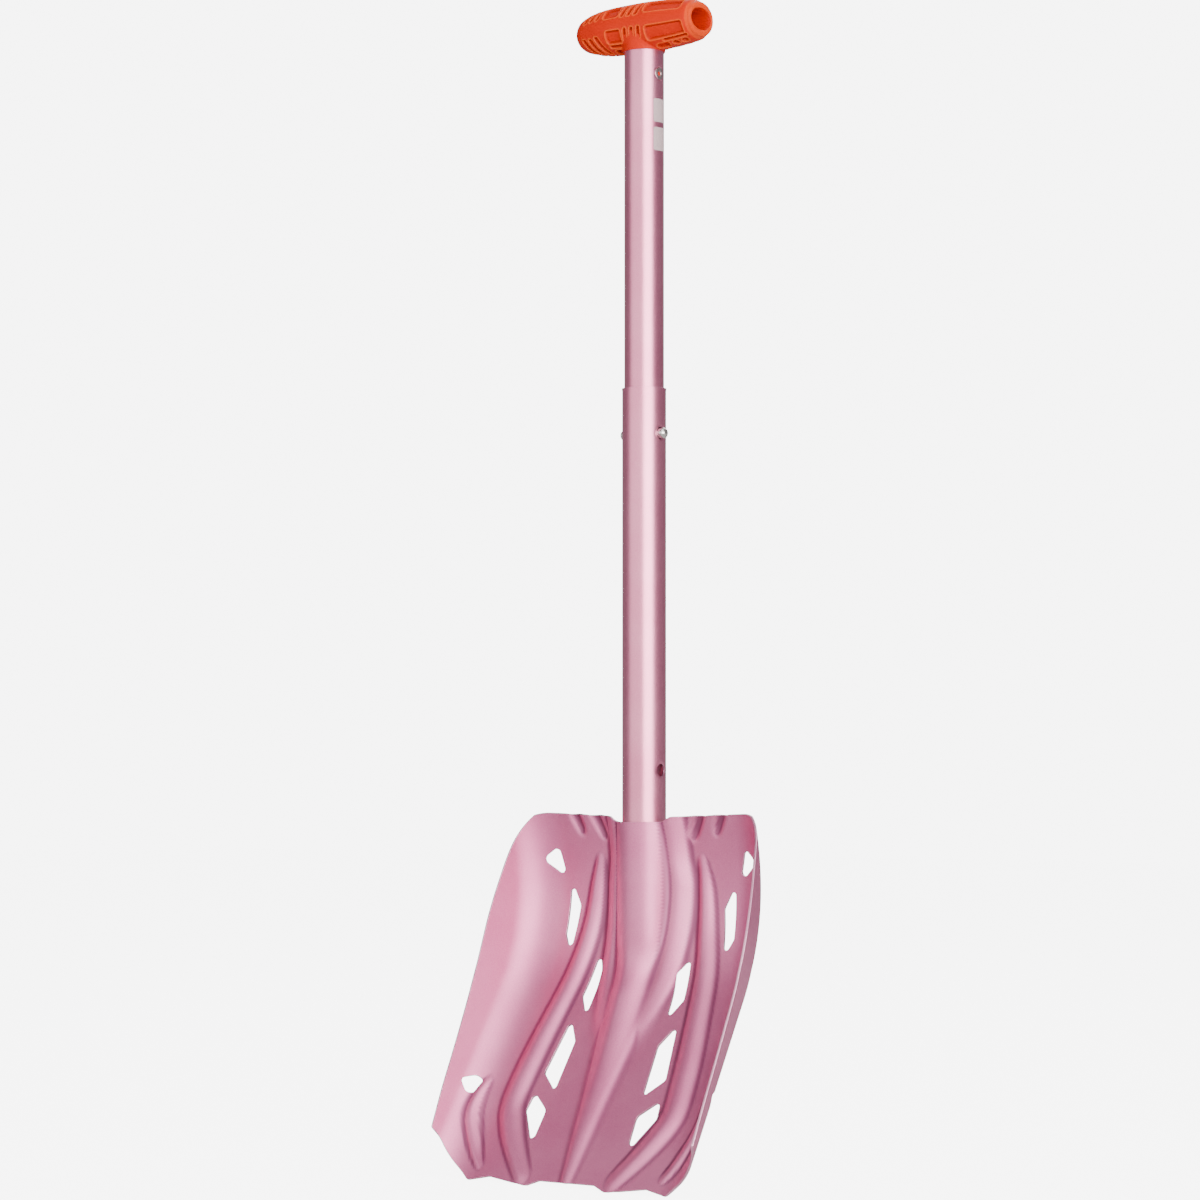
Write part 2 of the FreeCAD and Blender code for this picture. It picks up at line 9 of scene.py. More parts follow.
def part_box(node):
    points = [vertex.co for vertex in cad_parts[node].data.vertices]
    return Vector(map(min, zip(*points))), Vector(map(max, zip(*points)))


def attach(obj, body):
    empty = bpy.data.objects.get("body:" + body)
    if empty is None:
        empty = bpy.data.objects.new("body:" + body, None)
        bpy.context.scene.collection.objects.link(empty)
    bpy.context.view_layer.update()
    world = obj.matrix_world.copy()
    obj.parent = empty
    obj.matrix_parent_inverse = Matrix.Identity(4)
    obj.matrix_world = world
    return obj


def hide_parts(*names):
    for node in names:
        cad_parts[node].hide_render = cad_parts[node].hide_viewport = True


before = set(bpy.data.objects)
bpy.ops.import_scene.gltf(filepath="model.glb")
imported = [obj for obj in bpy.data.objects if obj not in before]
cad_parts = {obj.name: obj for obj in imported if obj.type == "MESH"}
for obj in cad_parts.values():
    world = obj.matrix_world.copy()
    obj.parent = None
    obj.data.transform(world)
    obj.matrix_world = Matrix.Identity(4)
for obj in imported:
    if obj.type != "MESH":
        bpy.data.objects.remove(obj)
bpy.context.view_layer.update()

# Avalanche shovel: pressed and anodised blade, telescopic shaft, moulded T-grip.
# Shapes are worked out in millimetres with the shaft's axis at X = Y = 0 and then set on the frame.
MM = 0.001
UPPER_TOP = 792.5
tube_low, tube_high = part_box("lower_tube")
grip_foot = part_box("upper_tube")[1].z / MM - UPPER_TOP
ORIGIN = np.array([0.0, 0.5 * (tube_low.y + tube_high.y) / MM, grip_foot])


# ------------------------------------------------------------ numbers of the real parts, mm

SHEET = 1.8
BLADE_TOP = 254.0
LOWER_RADIUS = 15.5
LOWER_END = 176.0
LOWER_RIM = 555.5
UPPER_RADIUS = 14.0
UPPER_END = 494.0
WALL = 1.2
BUTTON_Z = 523.5
TRAVEL = 236.5
LOCK_Z = 214.0
BUTTON_HOLE = 4.5
BUTTON_RADIUS = 3.9
SOCKET_GAP = 0.35
SHELL_THICK = 1.6
RIVET_Z = 776.0
RIVET_HOLE = 2.4
RIVET_SEAT = 4.4
GRIP_Z = 809.8
GRIP_RADIUS = 17.3


# ------------------------------------------------------------ curves

def smooth(t):
    """0 below 0, 1 above 1, smooth in between."""
    t = np.clip(t, 0.0, 1.0)
    return t * t * (3.0 - 2.0 * t)


def fair(points, x):
    """Height at x of a fair curve through (x, height) points."""
    px, py = np.array(points, float).T
    before = np.maximum(np.arange(len(px)) - 1, 0)
    after = np.minimum(np.arange(len(px)) + 1, len(px) - 1)
    slope = (py[after] - py[before]) / (px[after] - px[before])
    x = np.clip(x, px[0], px[-1])
    i = np.clip(np.searchsorted(px, x) - 1, 0, len(px) - 2)
    d = px[i + 1] - px[i]
    t = (x - px[i]) / d
    return ((2 * t**3 - 3 * t**2 + 1) * py[i] + (t**3 - 2 * t**2 + t) * d * slope[i]
            + (3 * t**2 - 2 * t**3) * py[i + 1] + (t**3 - t**2) * d * slope[i + 1])


def rounded(corners, radii, gap=1.1):
    """Closed loop of points about gap apart, its corners rounded."""
    corners = [np.array(c, float) for c in corners]
    loop = []
    for i, corner in enumerate(corners):
        radius = radii[i] if isinstance(radii, (list, tuple)) else radii
        to_last = corners[i - 1] - corner
        to_next = corners[(i + 1) % len(corners)] - corner
        to_last /= np.linalg.norm(to_last)
        to_next /= np.linalg.norm(to_next)
        half = 0.5 * math.acos(np.clip(to_last @ to_next, -1.0, 1.0))
        if radius <= 0 or half > 1.55:
            loop.append(corner)
            continue
        reach = radius / math.tan(half)
        middle = (to_last + to_next) / np.linalg.norm(to_last + to_next)
        centre = corner + middle * radius / math.sin(half)
        start = corner + to_last * reach - centre
        end = corner + to_next * reach - centre
        sweep = math.pi - 2.0 * half
        steps = max(4, int(sweep * radius / (0.6 * gap)))
        for k in range(steps + 1):
            a = sweep * k / steps
            loop.append(centre + (start * math.sin(sweep - a) + end * math.sin(a)) / math.sin(sweep))
    filled = []
    for i, p in enumerate(loop):
        q = loop[(i + 1) % len(loop)]
        runs = max(1, int(round(np.linalg.norm(q - p) / gap)))
        filled += [p + (q - p) * k / runs for k in range(runs)]
    return np.array(filled)


# ------------------------------------------------------------ pressed blade

FLOOR_BACK = 9.2
TOP_CURL = 7.0
BEND_TOP = 205.0
BEND_RADIUS = 145.0
BEND = math.radians(31.0)
FLAT_HALF_TOP = 76.3
FLAT_HALF_GROWTH = 0.039
FLAT_GROWTH_FROM = 150.0
WING_RADIUS = 33.0
WING = math.radians(70.0)

# Ribs and grooves: (half-width, height) along the middle, half-breadth and rise along the run.
LONG_RIB = ([(45.0, 228.0), (48.0, 208.0), (51.5, 175.0), (56.5, 149.0), (61.5, 123.0), (67.5, 92.0),
             (71.0, 66.0), (71.5, 52.0), (67.0, 41.0), (56.0, 25.0), (39.0, 5.0)],
            [(0.0, 4.0), (0.12, 8.5), (0.45, 11.5), (0.75, 12.5), (1.0, 8.0)],
            [(0.0, 0.5), (0.12, 4.5), (0.45, 6.0), (0.8, 5.5), (1.0, 2.0)])
CORNER_RIB = ([(96.5, 72.0), (99.5, 58.0), (99.5, 46.0), (95.0, 33.0), (87.0, 18.0), (79.0, 8.0)],
              [(0.0, 2.5), (0.3, 5.5), (0.7, 6.0), (1.0, 4.0)],
              [(0.0, 0.5), (0.3, 3.2), (0.7, 3.2), (1.0, 0.8)])
GROOVE_BREADTH = [(0.0, 7.5), (0.6, 6.0), (1.0, 4.0)]
GROOVE_RISE = [(0.0, -3.2), (0.6, -2.8), (1.0, -1.4)]
OUTER_GROOVE = ([(67.5, 262.0), (58.5, 240.0)], GROOVE_BREADTH, GROOVE_RISE)
INNER_GROOVE = ([(49.5, 262.0), (38.5, 237.0)], GROOVE_BREADTH, GROOVE_RISE)

# The bulge over the shaft: a mound low down, round over the tube from ROUND_FULL up, with a
# shoulder on each side. Each list pairs a height with the value there.
MOUND_RISE = [(0.0, 2.0), (35.0, 4.0), (76.0, 7.0), (108.0, 11.5), (140.0, 18.0), (170.0, 23.5)]
MOUND_HALF = [(0.0, 7.0), (30.0, 12.5), (65.0, 17.5), (100.0, 23.0), (124.0, 27.0), (170.0, 30.0)]
SHOULDER_X = [(84.0, 10.0), (100.0, 14.5), (120.0, 19.0), (141.0, 23.5), (172.0, 26.0), (205.0, 27.0),
              (226.0, 24.5), (254.0, 23.5)]
SHOULDER_RISE = [(84.0, 0.0), (100.0, 1.6), (120.0, 4.8), (141.0, 7.2), (172.0, 8.7), (205.0, 9.2),
                 (254.0, 9.2)]
SHOULDER_SLOPE = 15.0
ROUND_FROM = 130.0
ROUND_FULL = 172.0
BULGE_HALF = 19.8
BULGE_WALL = 1.85
BULGE_FILLET = 3.2
CREASE_FULL = 0.2


def floor_y(z):
    """Side profile of the blade's floor: curled at the top, upright, bent, then straight."""
    drop = BEND_TOP - z
    end = math.sin(BEND) * BEND_RADIUS
    curl = FLOOR_BACK - TOP_CURL * (np.maximum(-drop, 0.0) / (BLADE_TOP - BEND_TOP))**2
    bend = FLOOR_BACK - BEND_RADIUS + np.sqrt(BEND_RADIUS**2 - np.clip(drop, 0.0, end)**2)
    return np.where(drop < 0, curl, bend - math.tan(BEND) * np.maximum(drop - end, 0.0))


def flat_half(z):
    """Half-width of the blade's flat floor, where the wings begin to turn forward."""
    return FLAT_HALF_TOP + FLAT_HALF_GROWTH * np.maximum(0.0, FLAT_GROWTH_FROM - z)


def wing(t, z):
    """Half-width and forward depth at the distance t along the blade's section."""
    flat = flat_half(z)
    turn = np.clip((t - flat) / WING_RADIUS, 0.0, WING)
    rest = np.maximum(0.0, t - flat - WING * WING_RADIUS)
    x = np.minimum(t, flat) + WING_RADIUS * np.sin(turn) + rest * math.cos(WING)
    return x, WING_RADIUS * (1.0 - np.cos(turn)) + rest * math.sin(WING)


def along_front(x, z):
    """Distance along the section of a point seen from the front at half-width x."""
    past = (x - flat_half(z)) / WING_RADIUS
    lip = (past - math.sin(WING)) / math.cos(WING) + WING
    turn = np.where(past < math.sin(WING), np.arcsin(np.clip(past, 0.0, math.sin(WING))), lip)
    return np.where(past <= 0, x, flat_half(z) + WING_RADIUS * turn)


def along_side(y, z):
    """Distance along the section of a point seen from the side."""
    depth = (floor_y(z) - y) / WING_RADIUS
    round_part = 1.0 - math.cos(WING)
    lip = (depth - round_part) / math.sin(WING) + WING
    turn = np.where(depth < round_part, np.arccos(1.0 - np.clip(depth, 0.0, round_part)), lip)
    return flat_half(z) + WING_RADIUS * turn


def rib_rise(x, z, rib, steps=96, blend=5.0):
    """Rise of a rib or groove, from its distance to the near part of its path.

    The near points of the path count together over about blend millimetres, so that a bend
    in the path leaves no crease.
    """
    path, breadth, rise = rib
    path = np.array(path)
    length = np.concatenate([[0.0], np.cumsum(np.hypot(*np.diff(path, axis=0).T))])
    share = np.linspace(0.0, 1.0, steps + 1)
    mx = fair(np.c_[length, path[:, 0]], share * length[-1])
    mz = fair(np.c_[length, path[:, 1]], share * length[-1])
    square = (x[:, None] - mx)**2 + (z[:, None] - mz)**2
    nearest = square.min(axis=1)
    weight = np.exp((nearest[:, None] - square) / blend**2)
    total = weight.sum(axis=1)
    straight = math.sqrt(math.pi) * blend * steps / length[-1]
    gap = np.maximum(0.0, nearest - blend**2 * np.log(total / straight))
    where = weight @ share / total
    return fair(rise, where) * np.maximum(0.0, 1.0 - gap / fair(breadth, where)**2)**2


def bulge_rise(x, z):
    """The bulge over the shaft with its two shoulders."""
    reach = LOWER_RADIUS + SOCKET_GAP + SHEET
    edge = 0.9 * BULGE_HALF
    mound = fair(MOUND_RISE, z) * (0.5 + 0.5 * np.cos(math.pi * np.minimum(1.0, x / fair(MOUND_HALF, z))))
    round_top = reach * np.sqrt(1.0 - (np.minimum(x, edge) / BULGE_HALF)**2) + floor_y(z)
    round_top = round_top - BULGE_WALL * np.maximum(0.0, x - edge)
    share = smooth((z - ROUND_FROM) / (ROUND_FULL - ROUND_FROM))
    middle = mound * (1.0 - share) + np.maximum(0.0, round_top) * share
    crest = fair(SHOULDER_X, z)
    inner = 0.88 + 0.12 * smooth((x - crest + 12.0) / 12.0)
    foot = smooth((crest + SHOULDER_SLOPE - x) / (SHOULDER_SLOPE + 1.0))
    shoulder = fair(SHOULDER_RISE, z) * foot * inner
    high = np.maximum(middle, shoulder)
    joined = 0.5 * (middle + shoulder + np.sqrt((middle - shoulder)**2 + BULGE_FILLET**2))
    return joined - 0.5 * BULGE_FILLET * (1.0 - 0.85 * smooth(high / 4.0))


def crease(t, z, reach=2.6):
    """0 on flat and raised parts of the blade, up to 1 in the feet of its ribs and valleys; it sets where
    shade is painted into the blade's colour.
    """
    def rise(x, z):
        total = bulge_rise(x, z)
        for rib in (LONG_RIB, CORNER_RIB, OUTER_GROOVE, INNER_GROOVE):
            total = total + rib_rise(x, z, rib)
        return total

    x = wing(np.abs(t), z)[0]
    around = rise(x + reach, z) + rise(np.abs(x - reach), z) + rise(x, z + reach) + rise(x, z - reach)
    return smooth((around - 4.0 * rise(x, z)) / reach**2 / CREASE_FULL)


def blade_face(t, z):
    """Front face of the blade at the signed section distance t and the height z."""
    x, depth = wing(np.abs(t), z)
    y = floor_y(z) - depth - bulge_rise(x, z)
    for rib in (LONG_RIB, CORNER_RIB, OUTER_GROOVE, INNER_GROOVE):
        y = y - rib_rise(x, z, rib)
    return np.c_[np.sign(t) * x, y, z]


# The blade's digging edge, its side rim as (height, depth), and its holes with corner radii.
EDGE = [(24.0, 4.0), (35.0, 0.0), (69.0, 4.2), (87.5, 0.8), (105.0, 16.0), (116.5, 42.0)]
EDGE_RADII = [2.0, 3.0, 8.0, 4.0, 45.0, 22.0]
SIDE_RIM = [(-8.0, -115.0), (16.0, -105.0), (44.0, -92.6), (64.0, -83.8), (88.0, -72.4),
            (112.0, -61.3), (136.0, -50.7), (160.0, -41.4), (184.0, -33.4), (208.0, -25.0),
            (232.0, -16.1), (260.0, -2.0)]
SLOTS = [([(82.9, 233.0), (76.9, 208.5), (95.5, 223.0)], [3.2, 3.0, 4.5]),
         ([(63.9, 190.4), (68.2, 155.6), (75.2, 169.4), (73.5, 208.8)], [5.0, 2.6, 4.0, 2.4]),
         ([(33.4, 145.3), (35.5, 112.3), (45.4, 127.0), (41.0, 157.6)], [5.0, 2.4, 4.0, 2.4]),
         ([(36.6, 96.3), (38.8, 62.0), (54.0, 74.0), (47.4, 111.5)], [5.0, 2.2, 3.0, 2.6]),
         ([(40.0, 49.6), (42.1, 25.0), (58.1, 48.6), (56.1, 61.2)], [5.0, 3.0, 3.5, 3.0])]
WING_SLOT = [(-52.0, 72.5), (-67.5, 55.0), (-69.5, 69.5)]


def blade_loops():
    """Outline and holes of the blade, laid flat as (section distance, height) loops."""
    right = EDGE + [(117.0, 60.0), (117.0, BLADE_TOP + 3.2), (27.0, BLADE_TOP), (20.5, BLADE_TOP - 3.5)]
    radii = EDGE_RADII + [0.0, 30.0, 6.0, 6.0]
    corners = right + [(-x, z) for x, z in reversed(right)]
    outline = rounded(corners, radii + radii[::-1])
    side = np.where(outline[:, 0] < 0, -1.0, 1.0)
    x, z = np.abs(outline[:, 0]), outline[:, 1]
    rim = along_side(fair(SIDE_RIM, z), z)
    outline = np.c_[side * np.minimum(along_front(x, z), rim), z]
    holes = []
    for corners, radii in SLOTS:
        hole = rounded(corners, radii, 0.9)
        flat = along_front(hole[:, 0], hole[:, 1])
        holes += [np.c_[flat, hole[:, 1]], np.c_[-flat, hole[:, 1]]]
    hole = rounded(WING_SLOT, 3.0, 0.9)
    flat = along_side(hole[:, 0], hole[:, 1])
    holes += [np.c_[flat, hole[:, 1]], np.c_[-flat, hole[:, 1]]]
    return outline, holes


# ------------------------------------------------------------ sheets and tubes as meshes

def inside(loops, points):
    """True for the points inside the first loop and outside the others."""
    odd = np.zeros(len(points), bool)
    px, py = points[:, 0], points[:, 1]
    for loop in loops:
        for (ax, ay), (bx, by) in zip(loop, np.roll(loop, -1, axis=0)):
            if ay == by:
                continue
            cross = (ay > py) != (by > py)
            odd ^= cross & (px < (bx - ax) * (py - ay) / (by - ay) + ax)
    return odd


def facing(surface, flat, step=0.25):
    """Unit normals of a surface at flat (a, b) places."""
    a, b = flat.T
    across = surface(a + step, b) - surface(a - step, b)
    up = surface(a, b + step) - surface(a, b - step)
    n = np.cross(across, up)
    return n / np.linalg.norm(n, axis=1)[:, None]


def piece(name, points, faces, body, nodes=(), slot=None, finish=(), face_finish=None, normals=None):
    """Mesh piece from millimetre points, set on the frame and riding a body."""
    mesh = bpy.data.meshes.new(name)
    mesh.from_pydata(((points + ORIGIN) * MM).tolist(), [], [tuple(f) for f in faces])
    for material in finish:
        mesh.materials.append(material)
    if face_finish is not None:
        mesh.polygons.foreach_set("material_index", np.array(face_finish, np.int32))
    mesh.shade_smooth()
    if normals is not None:
        mesh.normals_split_custom_set_from_vertices(normals.tolist())
    obj = bpy.data.objects.new(name, mesh)
    bpy.context.scene.collection.objects.link(obj)
    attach(obj, body)
    if nodes:
        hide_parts(*nodes)
    return obj


def sheet_piece(name, surface, loops, rows, gap, thickness, edge, wrap=None, hollow=None,
                soften=0.25, **rest):
    """Sheet metal between a surface and its offset, with soft sheared edges round each loop.

    rows are the heights of the points inside, gap their distance along a row, edge how far the
    sheared edge stands out, wrap the flat width after which a tube closes on itself, hollow how
    deep in a crease a place is, which sets the shade painted there, and soften the reach over
    which the surface's lean is taken.
    """
    ring = np.concatenate(loops)
    near = KDTree(len(ring))
    for i, (a, b) in enumerate(ring):
        near.insert((a, b, 0.0), i)
    near.balance()
    low, high = ring[:, 0].min(), ring[:, 0].max()
    filling = []
    for j, b in enumerate(rows):
        a = np.arange(low + gap * (0.5 + 0.5 * (j % 2)), high, gap)
        filling.append(np.c_[a, np.full(a.shape, b)])
    filling = np.concatenate(filling)
    filling = filling[inside(loops, filling)]
    filling = np.array([p for p in filling if near.find((p[0], p[1], 0.0))[2] > 0.55 * gap])
    flat = np.concatenate([ring, filling])
    edges, start = [], 0
    for loop in loops:
        edges += [(start + i, start + (i + 1) % len(loop)) for i in range(len(loop))]
        start += len(loop)
    made = delaunay_2d_cdt([Vector(p) for p in flat], edges, [], 0, 1e-7)
    back_to = {old: new for new, olds in enumerate(made[3]) for old in olds}
    flat = np.array([tuple(p) for p in made[0]])
    triangles = np.array([f for f in made[2]])
    middles = flat[triangles].mean(axis=1)
    triangles = triangles[inside(loops, middles)]
    edges = [(back_to[i], back_to[j]) for i, j in edges]
    if wrap:
        seam = flat[:, 0].max()
        left = {round(b, 4): i for i, (a, b) in enumerate(flat) if abs(a + seam) < 1e-4}
        same = np.arange(len(flat))
        for i, (a, b) in enumerate(flat):
            if abs(a - seam) < 1e-4:
                same[i] = left[round(b, 4)]
        edges = [(i, j) for i, j in edges
                 if not (abs(abs(flat[i, 0]) - seam) < 1e-4 and abs(abs(flat[j, 0]) - seam) < 1e-4)]
        triangles = same[triangles]
        edges = [(same[i], same[j]) for i, j in edges]
    used, triangles = np.unique(triangles, return_inverse=True)
    triangles = triangles.reshape(-1, 3)
    new = {old: i for i, old in enumerate(used)}
    edges = np.array([(new[i], new[j]) for i, j in edges])
    flat = flat[used]
    face = surface(flat[:, 0], flat[:, 1])
    normal = facing(surface, flat, soften)
    count = len(flat)

    # outward direction at each rim point, away from the sheet
    run = face[edges[:, 1]] - face[edges[:, 0]]
    run /= np.linalg.norm(run, axis=1)[:, None]
    owner = {}
    for tri in triangles:
        for k in range(3):
            owner[(tri[k], tri[(k + 1) % 3])] = True
    forward = np.array([(i, j) in owner for i, j in edges])
    edges[~forward] = edges[~forward][:, ::-1]
    run[~forward] *= -1.0
    out = np.zeros((count, 3))
    np.add.at(out, edges[:, 0], np.cross(run, normal[edges[:, 0]]))
    np.add.at(out, edges[:, 1], np.cross(run, normal[edges[:, 1]]))
    rim = np.unique(edges)
    out[rim] /= np.linalg.norm(out[rim], axis=1)[:, None]

    steps = 4
    points, normals = [face, face - normal * thickness], [normal, -normal]
    slots = [np.full(count, -1)]
    slots[0][rim] = rim
    total = 2 * count
    for k in range(1, steps):
        turn = math.pi * k / steps
        points.append(face[rim] + out[rim] * edge * math.sin(turn)
                      - normal[rim] * 0.5 * thickness * (1.0 - math.cos(turn)))
        lean = normal[rim] * math.cos(turn) * edge + out[rim] * math.sin(turn) * 0.5 * thickness
        normals.append(lean / np.linalg.norm(lean, axis=1)[:, None])
        slots.append(np.full(count, -1))
        slots[-1][rim] = total + np.arange(len(rim))
        total += len(rim)
    slots.append(np.full(count, -1))
    slots[-1][rim] = count + rim
    faces = [tuple(t) for t in triangles] + [tuple(t[::-1] + count) for t in triangles]
    finishes = [0] * len(faces)
    for i, j in edges:
        for k in range(steps):
            faces.append((slots[k][j], slots[k][i], slots[k + 1][i], slots[k + 1][j]))
            finishes.append(1)
    obj = piece(name, np.concatenate(points), faces, face_finish=finishes,
                normals=np.concatenate(normals), **rest)
    # painted shade: how deep each point lies in a crease, kept as the crease attribute for the finish to
    # darken
    if hollow:
        share = hollow(flat[:, 0], flat[:, 1])
        share = np.concatenate([share, share, np.zeros(total - 2 * count)])
        attribute = obj.data.attributes.new("crease", "FLOAT", "POINT")
        attribute.data.foreach_set("value", share.astype(np.float32))
    return obj


def levels(low, high, marks, fine=1.1, coarse=7.0, reach=9.0):
    """Heights from low to high, close together near each mark."""
    out, z = [], low + 0.8
    while z < high - 0.8:
        out.append(z)
        gap = min(abs(z - m) for m in marks)
        z += fine if gap < reach else min(coarse, fine + 0.35 * (gap - reach))
    return out


def tube_piece(name, radius, low, high, holes, form, marks, **rest):
    """Drawn tube with punched holes, each (direction in degrees, height, hole radius)."""
    half = math.pi * radius
    seam = math.radians(-140.0)
    count = 64
    ends = np.linspace(-half, half, count + 1)
    sides = levels(low, high, marks)
    outline = ([(a, low) for a in ends] + [(half, z) for z in sides]
               + [(a, high) for a in ends[::-1]] + [(-half, z) for z in sides[::-1]])
    loops = [np.array(outline)]
    for degrees, z, size in holes:
        middle = (math.radians(degrees) - seam) % (2.0 * math.pi)
        middle = (middle - math.pi) * radius
        turn = np.linspace(0.0, 2.0 * math.pi, 40, endpoint=False)
        reach = radius * np.arcsin(np.clip(size * np.cos(turn) / radius, -1.0, 1.0))
        loops.append(np.c_[middle + reach, z + size * np.sin(turn)])

    def surface(a, b):
        angle = a / radius + math.pi + seam
        r = form(radius, angle, b)
        return np.c_[r * np.cos(angle), r * np.sin(angle), b]

    return sheet_piece(name, surface, loops, sides, 1.5, WALL, 0.18, wrap=2 * half, **rest)


def dished(radius, angle, z, holes, deep=0.45, wide=2.2):
    """How far the wall dips beside punched holes."""
    dip = np.zeros(np.shape(z))
    for degrees, height, size in holes:
        off = (angle - math.radians(degrees) + math.pi) % (2.0 * math.pi) - math.pi
        away = np.hypot(radius * off, z - height) - size
        dip = np.maximum(dip, deep * (1.0 - np.clip(away / wide, 0.0, 1.0))**2)
    return dip


def turned(profile, centre, axis, segments=64):
    """Closed surface turned from (distance along, radius) points about an axis."""
    axis = np.array(axis, float)
    side = np.cross(axis, (0.0, 0.0, 1.0) if abs(axis[2]) < 0.5 else (1.0, 0.0, 0.0))
    side /= np.linalg.norm(side)
    other = np.cross(axis, side)
    points, faces, last = [], [], None
    for along, radius in profile:
        start = len(points)
        size = 1 if radius < 1e-6 else segments
        for k in range(size):
            a = 2.0 * math.pi * k / segments
            points.append(np.array(centre) + axis * along
                          + radius * (side * math.cos(a) + other * math.sin(a)))
        if last is not None:
            first, before = last
            for k in range(segments):
                n = (k + 1) % segments
                low = (first + k, first + n) if before > 1 else (first,)
                top = (start + n, start + k) if size > 1 else (start,)
                if len(low) + len(top) > 2:
                    faces.append(low + top)
        last = (start, size)
    return np.array(points), faces


def ring_faces(rows, around, flip=False):
    """Quads between neighbouring rings of points; flip turns them to face the other way."""
    faces = []
    for j in range(rows):
        low, top = j * around, (j + 1) * around
        for k in range(around):
            n = (k + 1) % around
            if flip:
                faces.append((low + k, top + k, top + n, low + n))
            else:
                faces.append((low + k, low + n, top + n, top + k))
    return faces


def together(*shells):
    """Several closed skins as one list of points and faces."""
    points, faces = [], []
    for more, their_faces in shells:
        start = sum(len(p) for p in points)
        points.append(more)
        faces += [tuple(start + i for i in f) for f in their_faces]
    return np.concatenate(points), faces


# ------------------------------------------------------------ finishes

def colour(code):
    """sRGB hex colour as linear red, green, blue, alpha."""
    parts = [int(code[i:i + 2], 16) / 255.0 for i in (1, 3, 5)]
    return [c / 12.92 if c <= 0.04045 else ((c + 0.055) / 1.055)**2.4 for c in parts] + [1.0]


def add(tree, kind, values=(), **settings):
    """Adds a node. values pairs each input's name or number with a value or a socket to link."""
    node = tree.nodes.new(kind)
    for name, value in settings.items():
        setattr(node, name, value)
    for key, value in values:
        if isinstance(value, bpy.types.NodeSocket):
            tree.links.new(value, node.inputs[key])
        else:
            node.inputs[key].default_value = value
    return node


def finish_of(name, values):
    """New material with one Principled shader, its tree and the shader."""
    material = bpy.data.materials.new(name)
    material.use_nodes = True
    tree = material.node_tree
    shader = tree.nodes["Principled BSDF"]
    for key, value in values:
        shader.inputs[key].default_value = value
    return material, tree, shader


def per_mm(size):
    """Texture scale that gives features of this many millimetres."""
    return 1.0 / (size * MM)


def anodised_aluminium(name, deep, pale, roughness):
    """Aluminium, bead-blasted and dyed while anodising: satin metal with soft wide highlights.

    The blasted texture is near 0.1 mm; it is drawn at 0.8 mm so that it shows. Shade is
    painted into the colour in creases, where the mesh's crease attribute says so.
    """
    material, tree, shader = finish_of(name, [("Metallic", 1.0), ("Coat Weight", 0.3),
                                              ("Coat Roughness", 0.3), ("Coat IOR", 1.6)])
    place = add(tree, "ShaderNodeTexCoord").outputs["Object"]
    dye = add(tree, "ShaderNodeTexNoise", [("Vector", place), ("Scale", per_mm(55.0)), ("Detail", 3.0)])
    grain = add(tree, "ShaderNodeTexNoise",
                [("Vector", place), ("Scale", per_mm(0.8)), ("Detail", 2.0)])
    both = add(tree, "ShaderNodeMath", [(0, dye.outputs[0]), (1, grain.outputs[0])], operation="ADD")
    share = add(tree, "ShaderNodeMapRange", [("Value", both.outputs[0]), ("From Min", 0.75),
                                             ("From Max", 1.25)])
    tint = add(tree, "ShaderNodeMix", [("Factor", share.outputs[0]), (6, colour(deep)),
                                       (7, colour(pale))], data_type="RGBA")
    # painted shade: the colour darkens towards #7E3A5C in the blade's creases
    hollow = add(tree, "ShaderNodeAttribute", attribute_name="crease").outputs["Fac"]
    crease_shade_share = add(tree, "ShaderNodeMapRange", [("Value", hollow), ("To Max", 0.8)])
    # dyed: the dyed tint, with the painted crease shade mixed in
    dyed = add(tree, "ShaderNodeMix", [("Factor", crease_shade_share.outputs[0]), (6, tint.outputs[2]),
                                       (7, colour("#7E3A5C"))], data_type="RGBA")
    tree.links.new(dyed.outputs[2], shader.inputs["Base Color"])
    satin = add(tree, "ShaderNodeMapRange", [("Value", grain.outputs[0]), ("To Min", roughness - 0.05),
                                             ("To Max", roughness + 0.05)])
    tree.links.new(satin.outputs[0], shader.inputs["Roughness"])
    relief = add(tree, "ShaderNodeBump", [("Height", grain.outputs[0]), ("Strength", 0.25),
                                          ("Distance", 0.02 * MM)])
    tree.links.new(relief.outputs[0], shader.inputs["Normal"])
    return material


def sheared_edge():
    """The sheet's cut edge: paler than the faces, with a smoother satin than the blade."""
    return anodised_aluminium("anodised_sheared_edge", "#E79BBC", "#F2B7CD", 0.34)


